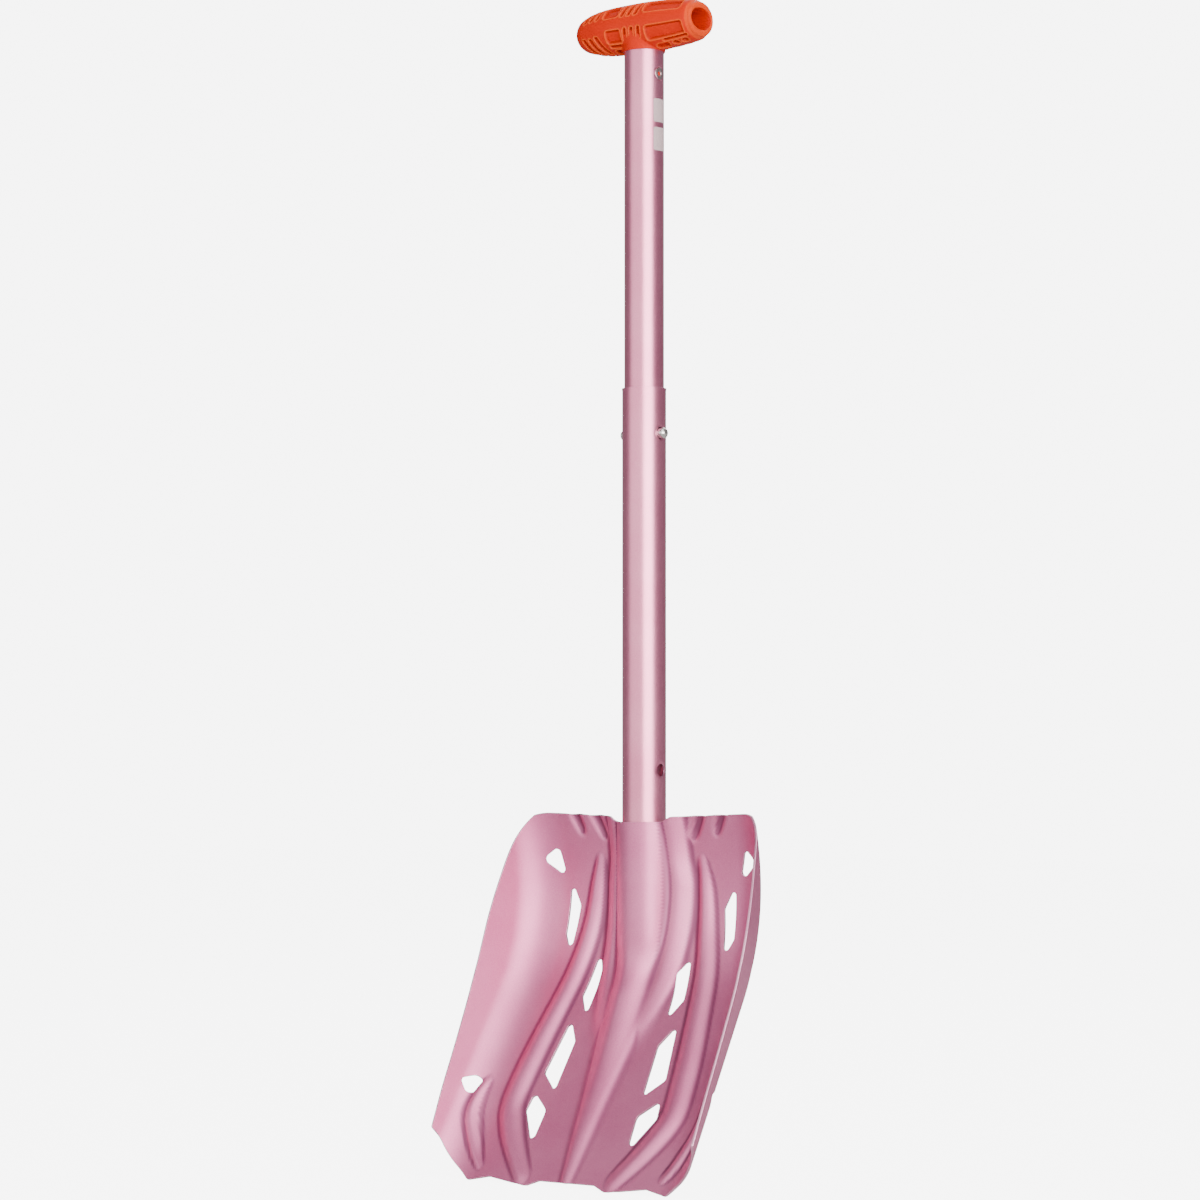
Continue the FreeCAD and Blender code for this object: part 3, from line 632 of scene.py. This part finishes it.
def moulded_plastic():
    """Injection-moulded polyamide, dyed orange: satin and slightly cloudy, with a painted highlight on the
    pocket rims and painted shade on the pocket walls.
    """
    material, tree, shader = finish_of("moulded_orange_polyamide", [
        ("IOR", 1.53), ("Specular IOR Level", 0.06)])
    place = add(tree, "ShaderNodeTexCoord").outputs["Object"]
    flow = add(tree, "ShaderNodeTexNoise", [("Vector", place), ("Scale", per_mm(30.0)), ("Detail", 2.0)])
    body = add(tree, "ShaderNodeMix", [("Factor", flow.outputs[0]), (6, colour("#C01C01")),
                                       (7, colour("#CC2802"))], data_type="RGBA")
    # painted shade: the pocket walls darken towards #8A1400
    wall = add(tree, "ShaderNodeAttribute", attribute_name="pocket_wall_shade").outputs["Fac"]
    shade = add(tree, "ShaderNodeMapRange", [("Value", wall), ("To Max", 0.7)])
    inner = add(tree, "ShaderNodeMix", [("Factor", shade.outputs[0]), (6, body.outputs[2]),
                                        (7, colour("#8A1400"))], data_type="RGBA")
    # painted highlight: the pocket rims and the open end's lip lighten towards #FF7020
    rim = add(tree, "ShaderNodeAttribute", attribute_name="pocket_rim_highlight").outputs["Fac"]
    rim_highlight_share = add(tree, "ShaderNodeMapRange", [("Value", rim), ("To Max", 0.5)])
    tint = add(tree, "ShaderNodeMix", [("Factor", rim_highlight_share.outputs[0]), (6, inner.outputs[2]),
                                       (7, colour("#FF7020"))], data_type="RGBA")
    tree.links.new(tint.outputs[2], shader.inputs["Base Color"])
    spark = add(tree, "ShaderNodeTexNoise", [("Vector", place), ("Scale", per_mm(0.5)), ("Detail", 2.0)])
    satin = add(tree, "ShaderNodeMapRange", [("Value", spark.outputs[0]), ("To Min", 0.34),
                                             ("To Max", 0.48)])
    tree.links.new(satin.outputs[0], shader.inputs["Roughness"])
    relief = add(tree, "ShaderNodeBump", [("Height", spark.outputs[0]), ("Strength", 0.2),
                                          ("Distance", 0.02 * MM)])
    tree.links.new(relief.outputs[0], shader.inputs["Normal"])
    return material


def steel(name, dark, light, roughness, mark):
    """Steel with fine tool marks of the given size in millimetres."""
    material, tree, shader = finish_of(name, [("Metallic", 1.0)])
    place = add(tree, "ShaderNodeTexCoord").outputs["Object"]
    marks = add(tree, "ShaderNodeTexNoise", [("Vector", place), ("Scale", per_mm(mark)), ("Detail", 4.0)])
    tint = add(tree, "ShaderNodeMix", [("Factor", marks.outputs[0]), (6, colour(dark)),
                                       (7, colour(light))], data_type="RGBA")
    tree.links.new(tint.outputs[2], shader.inputs["Base Color"])
    satin = add(tree, "ShaderNodeMapRange", [("Value", marks.outputs[0]), ("To Min", roughness * 0.7),
                                             ("To Max", roughness * 1.3)])
    tree.links.new(satin.outputs[0], shader.inputs["Roughness"])
    return material


def weld_aluminium():
    """Hand-laid aluminium weld, dyed with the blade: rougher, with soot-fine pits."""
    material = anodised_aluminium("anodised_weld", "#B8618A", "#DD8CB0", 0.5)
    relief = material.node_tree.nodes["Bump"]
    relief.inputs["Strength"].default_value = 0.6
    return material


def screen_print():
    """Flat pale ink, screen printed on the dyed aluminium: thin, matt and a little uneven."""
    material, tree, shader = finish_of("pale_screen_print", [("IOR", 1.5), ("Roughness", 0.55)])
    place = add(tree, "ShaderNodeTexCoord").outputs["Object"]
    ink = add(tree, "ShaderNodeTexNoise", [("Vector", place), ("Scale", per_mm(1.2)), ("Detail", 3.0)])
    tint = add(tree, "ShaderNodeMix", [("Factor", ink.outputs[0]), (6, colour("#B3999C")),
                                       (7, colour("#C9B2B2"))], data_type="RGBA")
    tree.links.new(tint.outputs[2], shader.inputs["Base Color"])
    return material


def studio_board():
    """Painted studio board, matt with a very faint roller texture.

    The camera sees it washed out to the backdrop's white; the shovel is lit by its own pale grey.
    """
    material, tree, shader = finish_of("painted_studio_board", [("Roughness", 0.9), ("IOR", 1.45)])
    place = add(tree, "ShaderNodeTexCoord").outputs["Object"]
    roller = add(tree, "ShaderNodeTexNoise", [("Vector", place), ("Scale", per_mm(3.0)), ("Detail", 2.0)])
    tint = add(tree, "ShaderNodeMix", [("Factor", roller.outputs[0]), (6, colour("#C6C5C6")),
                                       (7, colour("#CCCBCB"))], data_type="RGBA")
    tree.links.new(tint.outputs[2], shader.inputs["Base Color"])
    wash = add(tree, "ShaderNodeEmission", [("Color", colour("#FAFAFA")), ("Strength", FLOOR_WASH)])
    bright = add(tree, "ShaderNodeAddShader", [(0, shader.outputs[0]), (1, wash.outputs[0])])
    ray = add(tree, "ShaderNodeLightPath").outputs["Is Camera Ray"]
    both = add(tree, "ShaderNodeMixShader", [(0, ray), (1, shader.outputs[0]), (2, bright.outputs[0])])
    tree.links.new(both.outputs[0], tree.nodes["Material Output"].inputs[0])
    return material


blade_pink = anodised_aluminium("anodised_pink_blade_sheet", "#D8729F", "#E686AF", 0.52)
tube_pink = anodised_aluminium("anodised_pink_drawn_tube", "#E07FA0", "#EC93AF", 0.36)
cut_edge = sheared_edge()
orange = moulded_plastic()
button_steel = steel("turned_stainless_steel", "#B9B4AF", "#E0DCD6", 0.2, 0.8)
rivet_metal = steel("set_aluminium_rivet", "#B89A9C", "#D9C2C1", 0.3, 0.8)
spring_steel = steel("tempered_spring_steel", "#34363B", "#4A4640", 0.35, 2.5)
weld_finish = weld_aluminium()
print_finish = screen_print()


# ------------------------------------------------------------ blade, rear shell, welds

outline, slots_cut = blade_loops()
# the crease mask paints shade into the feet of the blade's ribs and valleys
sheet_piece("pressed_blade", blade_face, [outline] + slots_cut, np.arange(0.7, BLADE_TOP + 3.0, 1.3), 1.5,
            SHEET, 0.25, hollow=crease, soften=1.8, body="blade", nodes=["blade"], slot="anodised_blade",
            finish=[blade_pink, cut_edge])


def shell_face(x, z):
    """Front face of the rear shell: flanges on the blade's back, a round channel for the tube."""
    bore = LOWER_RADIUS + SOCKET_GAP
    flange = floor_y(z) + SHEET / math.cos(math.radians(8.0)) + 0.05
    arc = np.sqrt(np.maximum(0.0, bore**2 - x**2))
    return np.c_[x, 0.5 * (arc + flange + np.sqrt((arc - flange)**2 + 1.2**2)), z]


def shell_piece():
    """Rear half of the socket, a pressed sheet with a round channel and a hole for the button."""
    # the flanges step in above the height of 228, clear of the blade's grooves
    width, narrow, low, step, high = 39.5, 31.5, 168.0, 228.0, 248.0
    side = [(width, low), (width, step), (narrow, step + width - narrow), (narrow, high)]
    outline = rounded(side + [(-x, z) for x, z in reversed(side)],
                      [9.0, 5.0, 5.0, 5.0, 5.0, 5.0, 5.0, 9.0], 1.0)
    turn = np.linspace(0.0, 2.0 * math.pi, 40, endpoint=False)
    hole = np.c_[BUTTON_HOLE * np.cos(turn), LOCK_Z + BUTTON_HOLE * np.sin(turn)]

    def mirrored(a, z):
        return shell_face(-a, z) - facing(shell_face, np.c_[-a, z]) * SHELL_THICK

    return sheet_piece("rear_socket", mirrored, [outline, hole], np.arange(low + 0.6, high, 1.0), 1.1,
                       SHELL_THICK, 0.25, body="blade", nodes=["rear_socket_shell"],
                       slot="anodised_blade", finish=[blade_pink, cut_edge])


shell_piece()


def weld_stitch(x, low, high):
    """One run of weld: a low ridge of overlapping round ripples with tapered ends."""
    rows, around = 90, 24
    points = []
    for j in range(rows + 1):
        s = j / rows
        z = low + (high - low) * s
        taper = math.sqrt(max(0.0, 1.0 - (2.0 * s - 1.0)**8))
        for k in range(around):
            a = 2.0 * math.pi * k / around
            bow = 0.9 * math.cos(a)**2
            ripple = abs(math.sin(math.pi * (z + bow) / 1.7))
            r = taper * (1.45 + 0.28 * ripple)
            points.append((x + 1.25 * r * math.cos(a), floor_y(z) + SHEET + 0.7 + r * math.sin(a), z))
    faces = ring_faces(rows, around)
    faces.append(tuple(reversed(range(around))))
    faces.append(tuple(rows * around + k for k in range(around)))
    return np.array(points, float), faces


for side, label in ((-1.0, "left"), (1.0, "right")):
    points, faces = together(weld_stitch(side * 40.4, 179.0, 198.0), weld_stitch(side * 40.4, 206.0, 225.0))
    piece(label + "_welds", points, faces, "blade", nodes=[label + "_weld_stitches"], slot="weld",
          finish=[weld_finish])


# ------------------------------------------------------------ shaft

lock_holes = [(0.0, BUTTON_Z, BUTTON_HOLE), (180.0, BUTTON_Z, BUTTON_HOLE),
              (0.0, BUTTON_Z - TRAVEL, BUTTON_HOLE), (180.0, BUTTON_Z - TRAVEL, BUTTON_HOLE)]
blade_hole = [(90.0, LOCK_Z, BUTTON_HOLE)]
rivet_holes = [(0.0, RIVET_Z, RIVET_HOLE), (180.0, RIVET_Z, RIVET_HOLE)]
rivet_seats = [(0.0, RIVET_Z, RIVET_SEAT), (180.0, RIVET_Z, RIVET_SEAT)]


def lower_form(radius, angle, z):
    """Radius of the lower tube: a small lip at the mouth, and dips beside the holes."""
    lip = 0.3 * smooth((z - LOWER_RIM + 1.7) / 0.9)
    return radius + lip - dished(radius, angle, z, lock_holes)


def upper_form(radius, angle, z):
    """Radius of the upper tube: seats pressed in under the rivet heads."""
    return radius - dished(radius, angle, z, rivet_seats, 0.5, 0.5)


tube_piece("lower_shaft_tube", LOWER_RADIUS, LOWER_END, LOWER_RIM, lock_holes + blade_hole, lower_form,
           [LOWER_END, LOCK_Z, BUTTON_Z - TRAVEL, BUTTON_Z, LOWER_RIM], body="lower_shaft",
           nodes=["lower_tube"], slot="anodised_tube", finish=[tube_pink, cut_edge])
tube_piece("upper_shaft_tube", UPPER_RADIUS, UPPER_END, UPPER_TOP, lock_holes[:2] + rivet_holes,
           upper_form, [UPPER_END, BUTTON_Z, RIVET_Z, UPPER_TOP], body="upper_shaft",
           nodes=["upper_tube"], slot="anodised_tube", finish=[tube_pink, cut_edge])


def button_profile(seat, tip, radius):
    """Straight shank with a small foot flange, then a polished dome."""
    rise = 2.4
    ball = (radius**2 + rise**2) / (2.0 * rise)
    reach = math.asin(radius / ball)
    profile = [(seat, 0.0), (seat, radius - 0.3), (seat + 0.1, radius - 0.1), (seat + 0.4, radius)]
    shoulder = tip - rise
    profile += [(seat + 0.5 * (shoulder - seat), radius), (shoulder - 0.35, radius),
                (shoulder - 0.12, radius - 0.02)]
    for k in range(1, 15):
        a = reach * (1.0 - k / 14.0)
        profile.append((tip - ball + ball * math.cos(a), ball * math.sin(a)))
    return profile


leg = UPPER_RADIUS - WALL - 2.0
for side, label in ((-1.0, "left"), (1.0, "right")):
    points, faces = turned(button_profile(leg, LOWER_RADIUS + 4.6, BUTTON_RADIUS),
                           (0.0, 0.0, BUTTON_Z), (side, 0.0, 0.0))
    piece(label + "_snap_button", points, faces, label + "_button",
          nodes=[label + "_telescope_button"], slot="steel", finish=[button_steel])
tip = LOWER_RADIUS + SOCKET_GAP + SHELL_THICK + 3.2
points, faces = turned(button_profile(LOWER_RADIUS - WALL - 2.2, tip, BUTTON_RADIUS),
                       (0.0, 0.0, LOCK_Z), (0.0, 1.0, 0.0))
piece("blade_snap_button", points, faces, "lock_button", nodes=["blade_lock_button"], slot="steel",
      finish=[button_steel])


def hollow_rivet(side):
    """Rolled head let into the round tube, hollow in the middle, and a shank through both walls."""
    seat, face, roll = 13.4, 14.12, 0.34
    shank_in = UPPER_RADIUS - WALL - 3.6
    profile = [(shank_in, 1.3), (shank_in, 2.3), (seat - 0.2, 2.35), (seat, 4.2), (seat + 0.2, 4.0 + roll)]
    profile += [(face - roll + roll * math.sin(a), 4.0 + roll * math.cos(a))
                for a in np.linspace(0.0, 1.5, 6)]
    profile += [(face - 0.1, 3.2), (face - 0.16, 2.6)]
    profile += [(face - 0.9 + 0.75 * math.cos(a), 1.45 + 0.95 * (1.0 - math.sin(a)))
                for a in np.linspace(0.2, 1.5, 8)]
    profile += [(seat - 1.0, 1.35), (shank_in + 0.2, 1.25), (shank_in, 1.3)]
    points, faces = turned(profile, (0.0, 0.0, RIVET_Z), (side, 0.0, 0.0), 48)
    round_off = face - np.sqrt(face**2 - points[:, 1]**2)
    points[:, 0] -= side * np.where(np.abs(points[:, 0]) > seat - 0.4, round_off, 0.0)
    return points, faces


for side, label in ((-1.0, "left"), (1.0, "right")):
    points, faces = hollow_rivet(side)
    piece(label + "_hollow_rivet", points, faces, "upper_shaft", nodes=[label + "_grip_rivet"],
          slot="steel", finish=[rivet_metal])


# ------------------------------------------------------------ grip

# Barrel profile along X: half-height and half-depth.
HALF_HEIGHT = [(-57.0, 0.0), (-56.4, 4.4), (-54.5, 8.0), (-50.5, 11.4), (-44.0, 13.7), (-30.0, 16.2),
               (-8.0, 17.3), (14.0, 17.3), (32.0, 16.0), (42.0, 14.8), (46.2, 13.9), (48.6, 12.3)]
HALF_DEPTH = [(-57.0, 0.0), (-56.4, 4.6), (-54.5, 8.4), (-50.5, 11.9), (-44.0, 14.2), (-30.0, 16.6),
              (-8.0, 17.3), (14.0, 17.4), (32.0, 16.9), (42.0, 16.2), (46.2, 15.6), (48.6, 14.3)]

# Moulded pockets: (from X, to X, from degrees, to degrees, corner, slant). Degrees are up from the front.
POCKETS = [(-22.0, -9.5, -40.0, -10.0, 1.4, 0.0),
           (-6.5, -4.0, -36.0, -8.0, 1.1, 0.12), (-0.5, 2.0, -34.0, -8.0, 1.1, 0.12),
           (5.5, 8.0, -34.0, -8.0, 1.1, 0.12),
           (13.0, 44.0, -45.0, -11.0, 1.8, 0.0),
           (-43.5, -40.8, 24.0, 62.0, 1.1, 0.25), (-37.5, -34.8, 24.0, 62.0, 1.1, 0.25),
           (-31.5, -28.8, 24.0, 62.0, 1.1, 0.25),
           (-25.0, -12.0, 24.0, 62.0, 1.4, 0.0),
           (-8.5, -5.5, 22.0, 62.0, 1.3, 0.2), (-2.5, 0.5, 22.0, 62.0, 1.3, 0.2),
           (3.5, 6.5, 22.0, 62.0, 1.3, 0.2),
           (10.5, 42.0, 26.0, 60.0, 2.4, 0.0),
           (-43.0, -39.5, -80.0, -24.0, 1.4, -0.42), (-36.5, -33.0, -80.0, -24.0, 1.4, -0.42),
           (-30.0, -26.5, -80.0, -20.0, 1.4, -0.42),
           (-21.0, -8.0, -53.0, -46.5, 0.9, 0.0), (-19.0, -8.0, -84.0, -62.0, 1.4, 0.0),
           (25.0, 45.0, -56.0, -50.0, 0.8, 0.0), (17.0, 27.0, -80.0, -62.0, 1.5, 0.25),
           (31.0, 35.5, -78.0, -64.0, 1.8, 0.0), (38.5, 43.0, -78.0, -64.0, 1.8, 0.0)]


def pocket_relief(x, v_of, degrees):
    """Depth pressed in at each barrel point, and how near it is to a pocket's rim and wall. The rim share
    raises the rims and places a painted highlight on them; the wall share places painted shade inside the
    pockets.
    """
    deep = np.zeros(x.shape)
    rim = np.zeros(x.shape)
    wall = np.zeros(x.shape)
    for x0, x1, d0, d1, corner, slant in POCKETS:
        for mirror in (False, True):
            here = (180.0 - degrees if mirror else degrees)
            v = v_of * ((here - 0.5 * (d0 + d1) + 180.0) % 360.0 - 180.0)
            half_v = 0.5 * (d1 - d0) * v_of
            u = np.abs(x - 0.5 * (x0 + x1) - slant * v) - 0.5 * (x1 - x0) + corner
            w = np.abs(v) - half_v + corner
            away = np.hypot(np.maximum(u, 0), np.maximum(w, 0)) + np.minimum(np.maximum(u, w), 0) - corner
            deep = np.maximum(deep, 2.1 * smooth(0.5 - away / 1.1))
            rim = np.maximum(rim, np.exp(-((away - 0.75) / 0.45)**2))
            wall = np.maximum(wall, np.exp(-((away + 0.25) / 0.5)**2))
    return deep, rim, wall * (1.0 - rim)


def barrel_shell():
    """Outside of the barrel, its rolled open end, and the hollow inside it, as one skin."""
    around = 264
    x = np.concatenate([-57.0 + 6.0 * np.linspace(0.0, 1.0, 22)**2.2, np.arange(-50.6, 48.6, 0.42), [48.6]])
    turn = np.linspace(0.0, 0.5 * math.pi, 8)[1:]
    high, wide = fair(HALF_HEIGHT, x), fair(HALF_DEPTH, x)
    # rounded outer corner, flat face, rounded inner corner, oval bore, floor of the bore
    bore_high, bore_wide, bore = 7.4, 11.2, np.linspace(48.5, 12.0, 16)
    end_x = np.concatenate([48.6 + 2.3 * np.sin(turn), [51.0], 51.0 - 1.5 * (1.0 - np.cos(turn)),
                            bore, [11.2, 10.6, 10.4, 10.4]])
    outer = 1.6 * (1.0 - np.cos(turn))
    inner = 1.5 * (1.0 - np.sin(turn))
    taper = np.linspace(0.2, 1.0, 16)
    end_high = np.concatenate([12.3 - outer, [10.0], bore_high + inner, bore_high - taper,
                               [5.9, 4.6, 2.6, 0.02]])
    end_wide = np.concatenate([14.3 - outer, [12.7], bore_wide + inner, bore_wide - taper,
                               [9.6, 8.0, 4.6, 0.02]])
    xs = np.concatenate([x, end_x])
    high = np.concatenate([high, end_high])
    wide = np.concatenate([wide, end_wide])
    degrees = np.linspace(0.0, 360.0, around, endpoint=False)
    gx, gd = np.meshgrid(xs, degrees, indexing="ij")
    size = np.minimum(high, wide)
    deep, rim, wall = pocket_relief(gx[:len(x)], np.radians(1.0) * size[:len(x), None], gd[:len(x)])
    press = np.zeros(gx.shape)
    press[:len(x)] = deep
    # edge: the rim share, which raises the rims and places their painted highlight
    edge = np.zeros(gx.shape)
    edge[:len(x)] = rim
    # dark: the wall share, where shade is painted inside the pockets
    dark = np.zeros(gx.shape)
    dark[:len(x)] = wall
    a = np.radians(gd)
    bulge = 0.28 * edge
    y = -(wide[:, None] - press + bulge) * np.cos(a)
    z = (high[:, None] - press + bulge) * np.sin(a)
    y[0], z[0] = 0.0, 0.0
    points = np.stack([gx, y, z + GRIP_Z], axis=-1).reshape(-1, 3)
    faces = ring_faces(len(xs) - 1, around, flip=True)
    faces.append(tuple(reversed(range(len(points) - around, len(points)))))
    # painted highlight on the open end's rounded lip, as on the pocket rims
    edge[len(x) - 5:len(x) + 12] = 0.45
    return points, faces, {"pocket_rim_highlight": edge.reshape(-1), "pocket_wall_shade": dark.reshape(-1)}


def neck_shell():
    """Collar that fairs the barrel into the tube, trimmed to the barrel's underside."""
    around, rows = 96, 12
    points = []
    for j in range(rows + 1):
        s = j / rows
        for k in range(around):
            a = 2.0 * math.pi * k / around
            r = 14.9 + 1.5 * s**3
            y = r * math.sin(a)
            top = GRIP_Z - math.sqrt(GRIP_RADIUS**2 - min(y * y, 270.0)) + 1.2
            z = UPPER_TOP + (top - UPPER_TOP) * s
            points.append((r * math.cos(a), y, z))
    faces = ring_faces(rows, around)
    points.append((0.0, 0.0, 797.0))
    points.append((0.0, 0.0, UPPER_TOP))
    for k in range(around):
        n = (k + 1) % around
        faces.append((rows * around + k, rows * around + n, len(points) - 2))
        faces.append((n, k, len(points) - 1))
    return np.array(points), faces


points, faces, marks = barrel_shell()
plug = turned([(758.0, 9.8), (758.0, 12.4), (759.0, 12.75), (792.4, 12.75), (792.4, 9.8), (786.0, 9.4),
               (758.6, 9.6), (758.0, 9.8)], (0.0, 0.0, 0.0), (0.0, 0.0, 1.0), 72)
count = len(points)
points, faces = together((points, faces), neck_shell(), plug)
grip = piece("moulded_grip", points, faces, "upper_shaft", nodes=["grip_body"], slot="orange_plastic",
             finish=[orange])
# the rim and wall attributes carry the painted highlight on the pocket rims and the painted shade on the
# pocket walls
for label, values in marks.items():
    attribute = grip.data.attributes.new(label, "FLOAT", "POINT")
    values = np.concatenate([values, np.zeros(len(points) - count)])
    attribute.data.foreach_set("value", values.astype(np.float32))
grip.data.set_sharp_from_angle(angle=math.radians(50.0))


# ------------------------------------------------------------ plain printed patches

def printed_patch(name, surface, middle, half_wide, half_high, tilt, corner, body, lift=0.05):
    """Thin flat ink patch with rounded corners, laid on a surface."""
    loop = rounded([(-half_wide, -half_high), (half_wide, -half_high), (half_wide, half_high),
                    (-half_wide, half_high)], corner, 0.5)
    cos, sin = math.cos(tilt), math.sin(tilt)
    loop = loop @ np.array([[cos, sin], [-sin, cos]])
    rings = 8
    flat = np.concatenate([middle + loop * (k + 1) / rings for k in range(rings)] + [[middle]])
    points = surface(flat[:, 0], flat[:, 1]) + facing(surface, flat) * lift
    size = len(loop)
    faces = ring_faces(rings - 1, size, flip=True)
    faces += [(i, (i + 1) % size, rings * size) for i in range(size)]
    return piece(name, points, faces, body, finish=[print_finish])


def upper_wall(a, b):
    """Outside of the upper tube at a millimetres round from its right side and the height b."""
    angle = a / UPPER_RADIUS
    return np.c_[UPPER_RADIUS * np.cos(angle), UPPER_RADIUS * np.sin(angle), b]


printed_patch("upper_print", upper_wall, np.array([0.0, 750.0]), 6.0, 8.2, 0.0, 1.6, "upper_shaft")
printed_patch("lower_print", upper_wall, np.array([0.0, 730.0]), 6.0, 8.2, 0.0, 1.6, "upper_shaft")


# ------------------------------------------------------------ hidden springs keep their shape

for name in ("telescope_spring", "blade_lock_spring"):
    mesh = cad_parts[name].data
    mesh.materials.clear()
    mesh.materials.append(spring_steel)


# ------------------------------------------------------------ floor, light, camera

# How bright the camera sees the backdrop, and what it sees added on the floor to match it.
BACKDROP = 7.2
FLOOR_WASH = 6.8


def studio_floor():
    """Plain board, large enough to fill the view behind the shovel."""
    half, count = 9.0, 12
    line = np.linspace(-half, half, count + 1)
    points = [(x, y, 0.0) for y in line for x in line]
    faces = []
    for j in range(count):
        for i in range(count):
            a = j * (count + 1) + i
            faces.append((a, a + 1, a + count + 2, a + count + 1))
    mesh = bpy.data.meshes.new("studio_floor")
    mesh.from_pydata(points, [], faces)
    mesh.materials.append(studio_board())
    floor = bpy.data.objects.new("studio_floor", mesh)
    floor.location.z = -0.0004
    bpy.context.scene.collection.objects.link(floor)


def soft_light(name, degrees, rise, distance, wide, high, power):
    """Large soft box aimed at the middle of the shovel."""
    light = bpy.data.lights.new(name, "AREA")
    light.shape = "RECTANGLE"
    light.size, light.size_y, light.energy = wide, high, power
    lamp = bpy.data.objects.new(name, light)
    a, e = math.radians(degrees), math.radians(rise)
    centre = Vector((0.0, ORIGIN[1] * MM, 0.42))
    toward = Vector((math.sin(a) * math.cos(e), -math.cos(a) * math.cos(e), math.sin(e)))
    lamp.location = centre + toward * distance
    lamp.rotation_mode = "QUATERNION"
    lamp.rotation_quaternion = toward.to_track_quat("Z", "Y")
    lamp.visible_camera = False
    bpy.context.scene.collection.objects.link(lamp)


studio_floor()
soft_light("right_box", 59.0, 6.0, 3.4, 3.1, 1.9, 205.0)
soft_light("right_top_box", 52.0, 50.0, 3.4, 2.6, 2.0, 44.0)
soft_light("front_box", -10.0, 10.0, 3.4, 4.4, 2.4, 62.0)
soft_light("back_box", 200.0, 50.0, 3.4, 2.6, 2.0, 30.0)

overhead = bpy.data.lights.new("overhead_silk", "SUN")
overhead.energy, overhead.angle = 0.6, math.radians(70.0)
silk = bpy.data.objects.new("overhead_silk", overhead)
silk.rotation_euler = (math.radians(-28.0), 0.0, math.radians(20.0))
bpy.context.scene.collection.objects.link(silk)


def studio_world():
    """Pale backdrop; the light it gives is dimmer, so that the metal has something dark to mirror."""
    world = bpy.data.worlds.new("pale_studio")
    world.use_nodes = True
    tree = world.node_tree
    seen = tree.nodes["Background"]
    seen.inputs["Color"].default_value = colour("#FAFAFA")
    seen.inputs["Strength"].default_value = BACKDROP
    given = add(tree, "ShaderNodeBackground", [("Color", colour("#F2F0F4")), ("Strength", 0.34)])
    ray = add(tree, "ShaderNodeLightPath").outputs["Is Camera Ray"]
    both = add(tree, "ShaderNodeMixShader", [(0, ray), (1, given.outputs[0]), (2, seen.outputs[0])])
    tree.links.new(both.outputs[0], tree.nodes["World Output"].inputs[0])
    bpy.context.scene.world = world


studio_world()

azimuth, distance = math.radians(38.0), 2.62
camera = bpy.data.objects.new("camera", bpy.data.cameras.new("camera"))
camera.location = (distance * math.sin(azimuth), ORIGIN[1] * MM - distance * math.cos(azimuth), 0.280)
camera.rotation_euler = (math.radians(90.0), 0.0, azimuth)
camera.data.lens = 111.6
camera.data.sensor_width = 36.0
camera.data.shift_x = -0.0368
camera.data.shift_y = 0.15
bpy.context.scene.collection.objects.link(camera)
bpy.context.scene.camera = camera
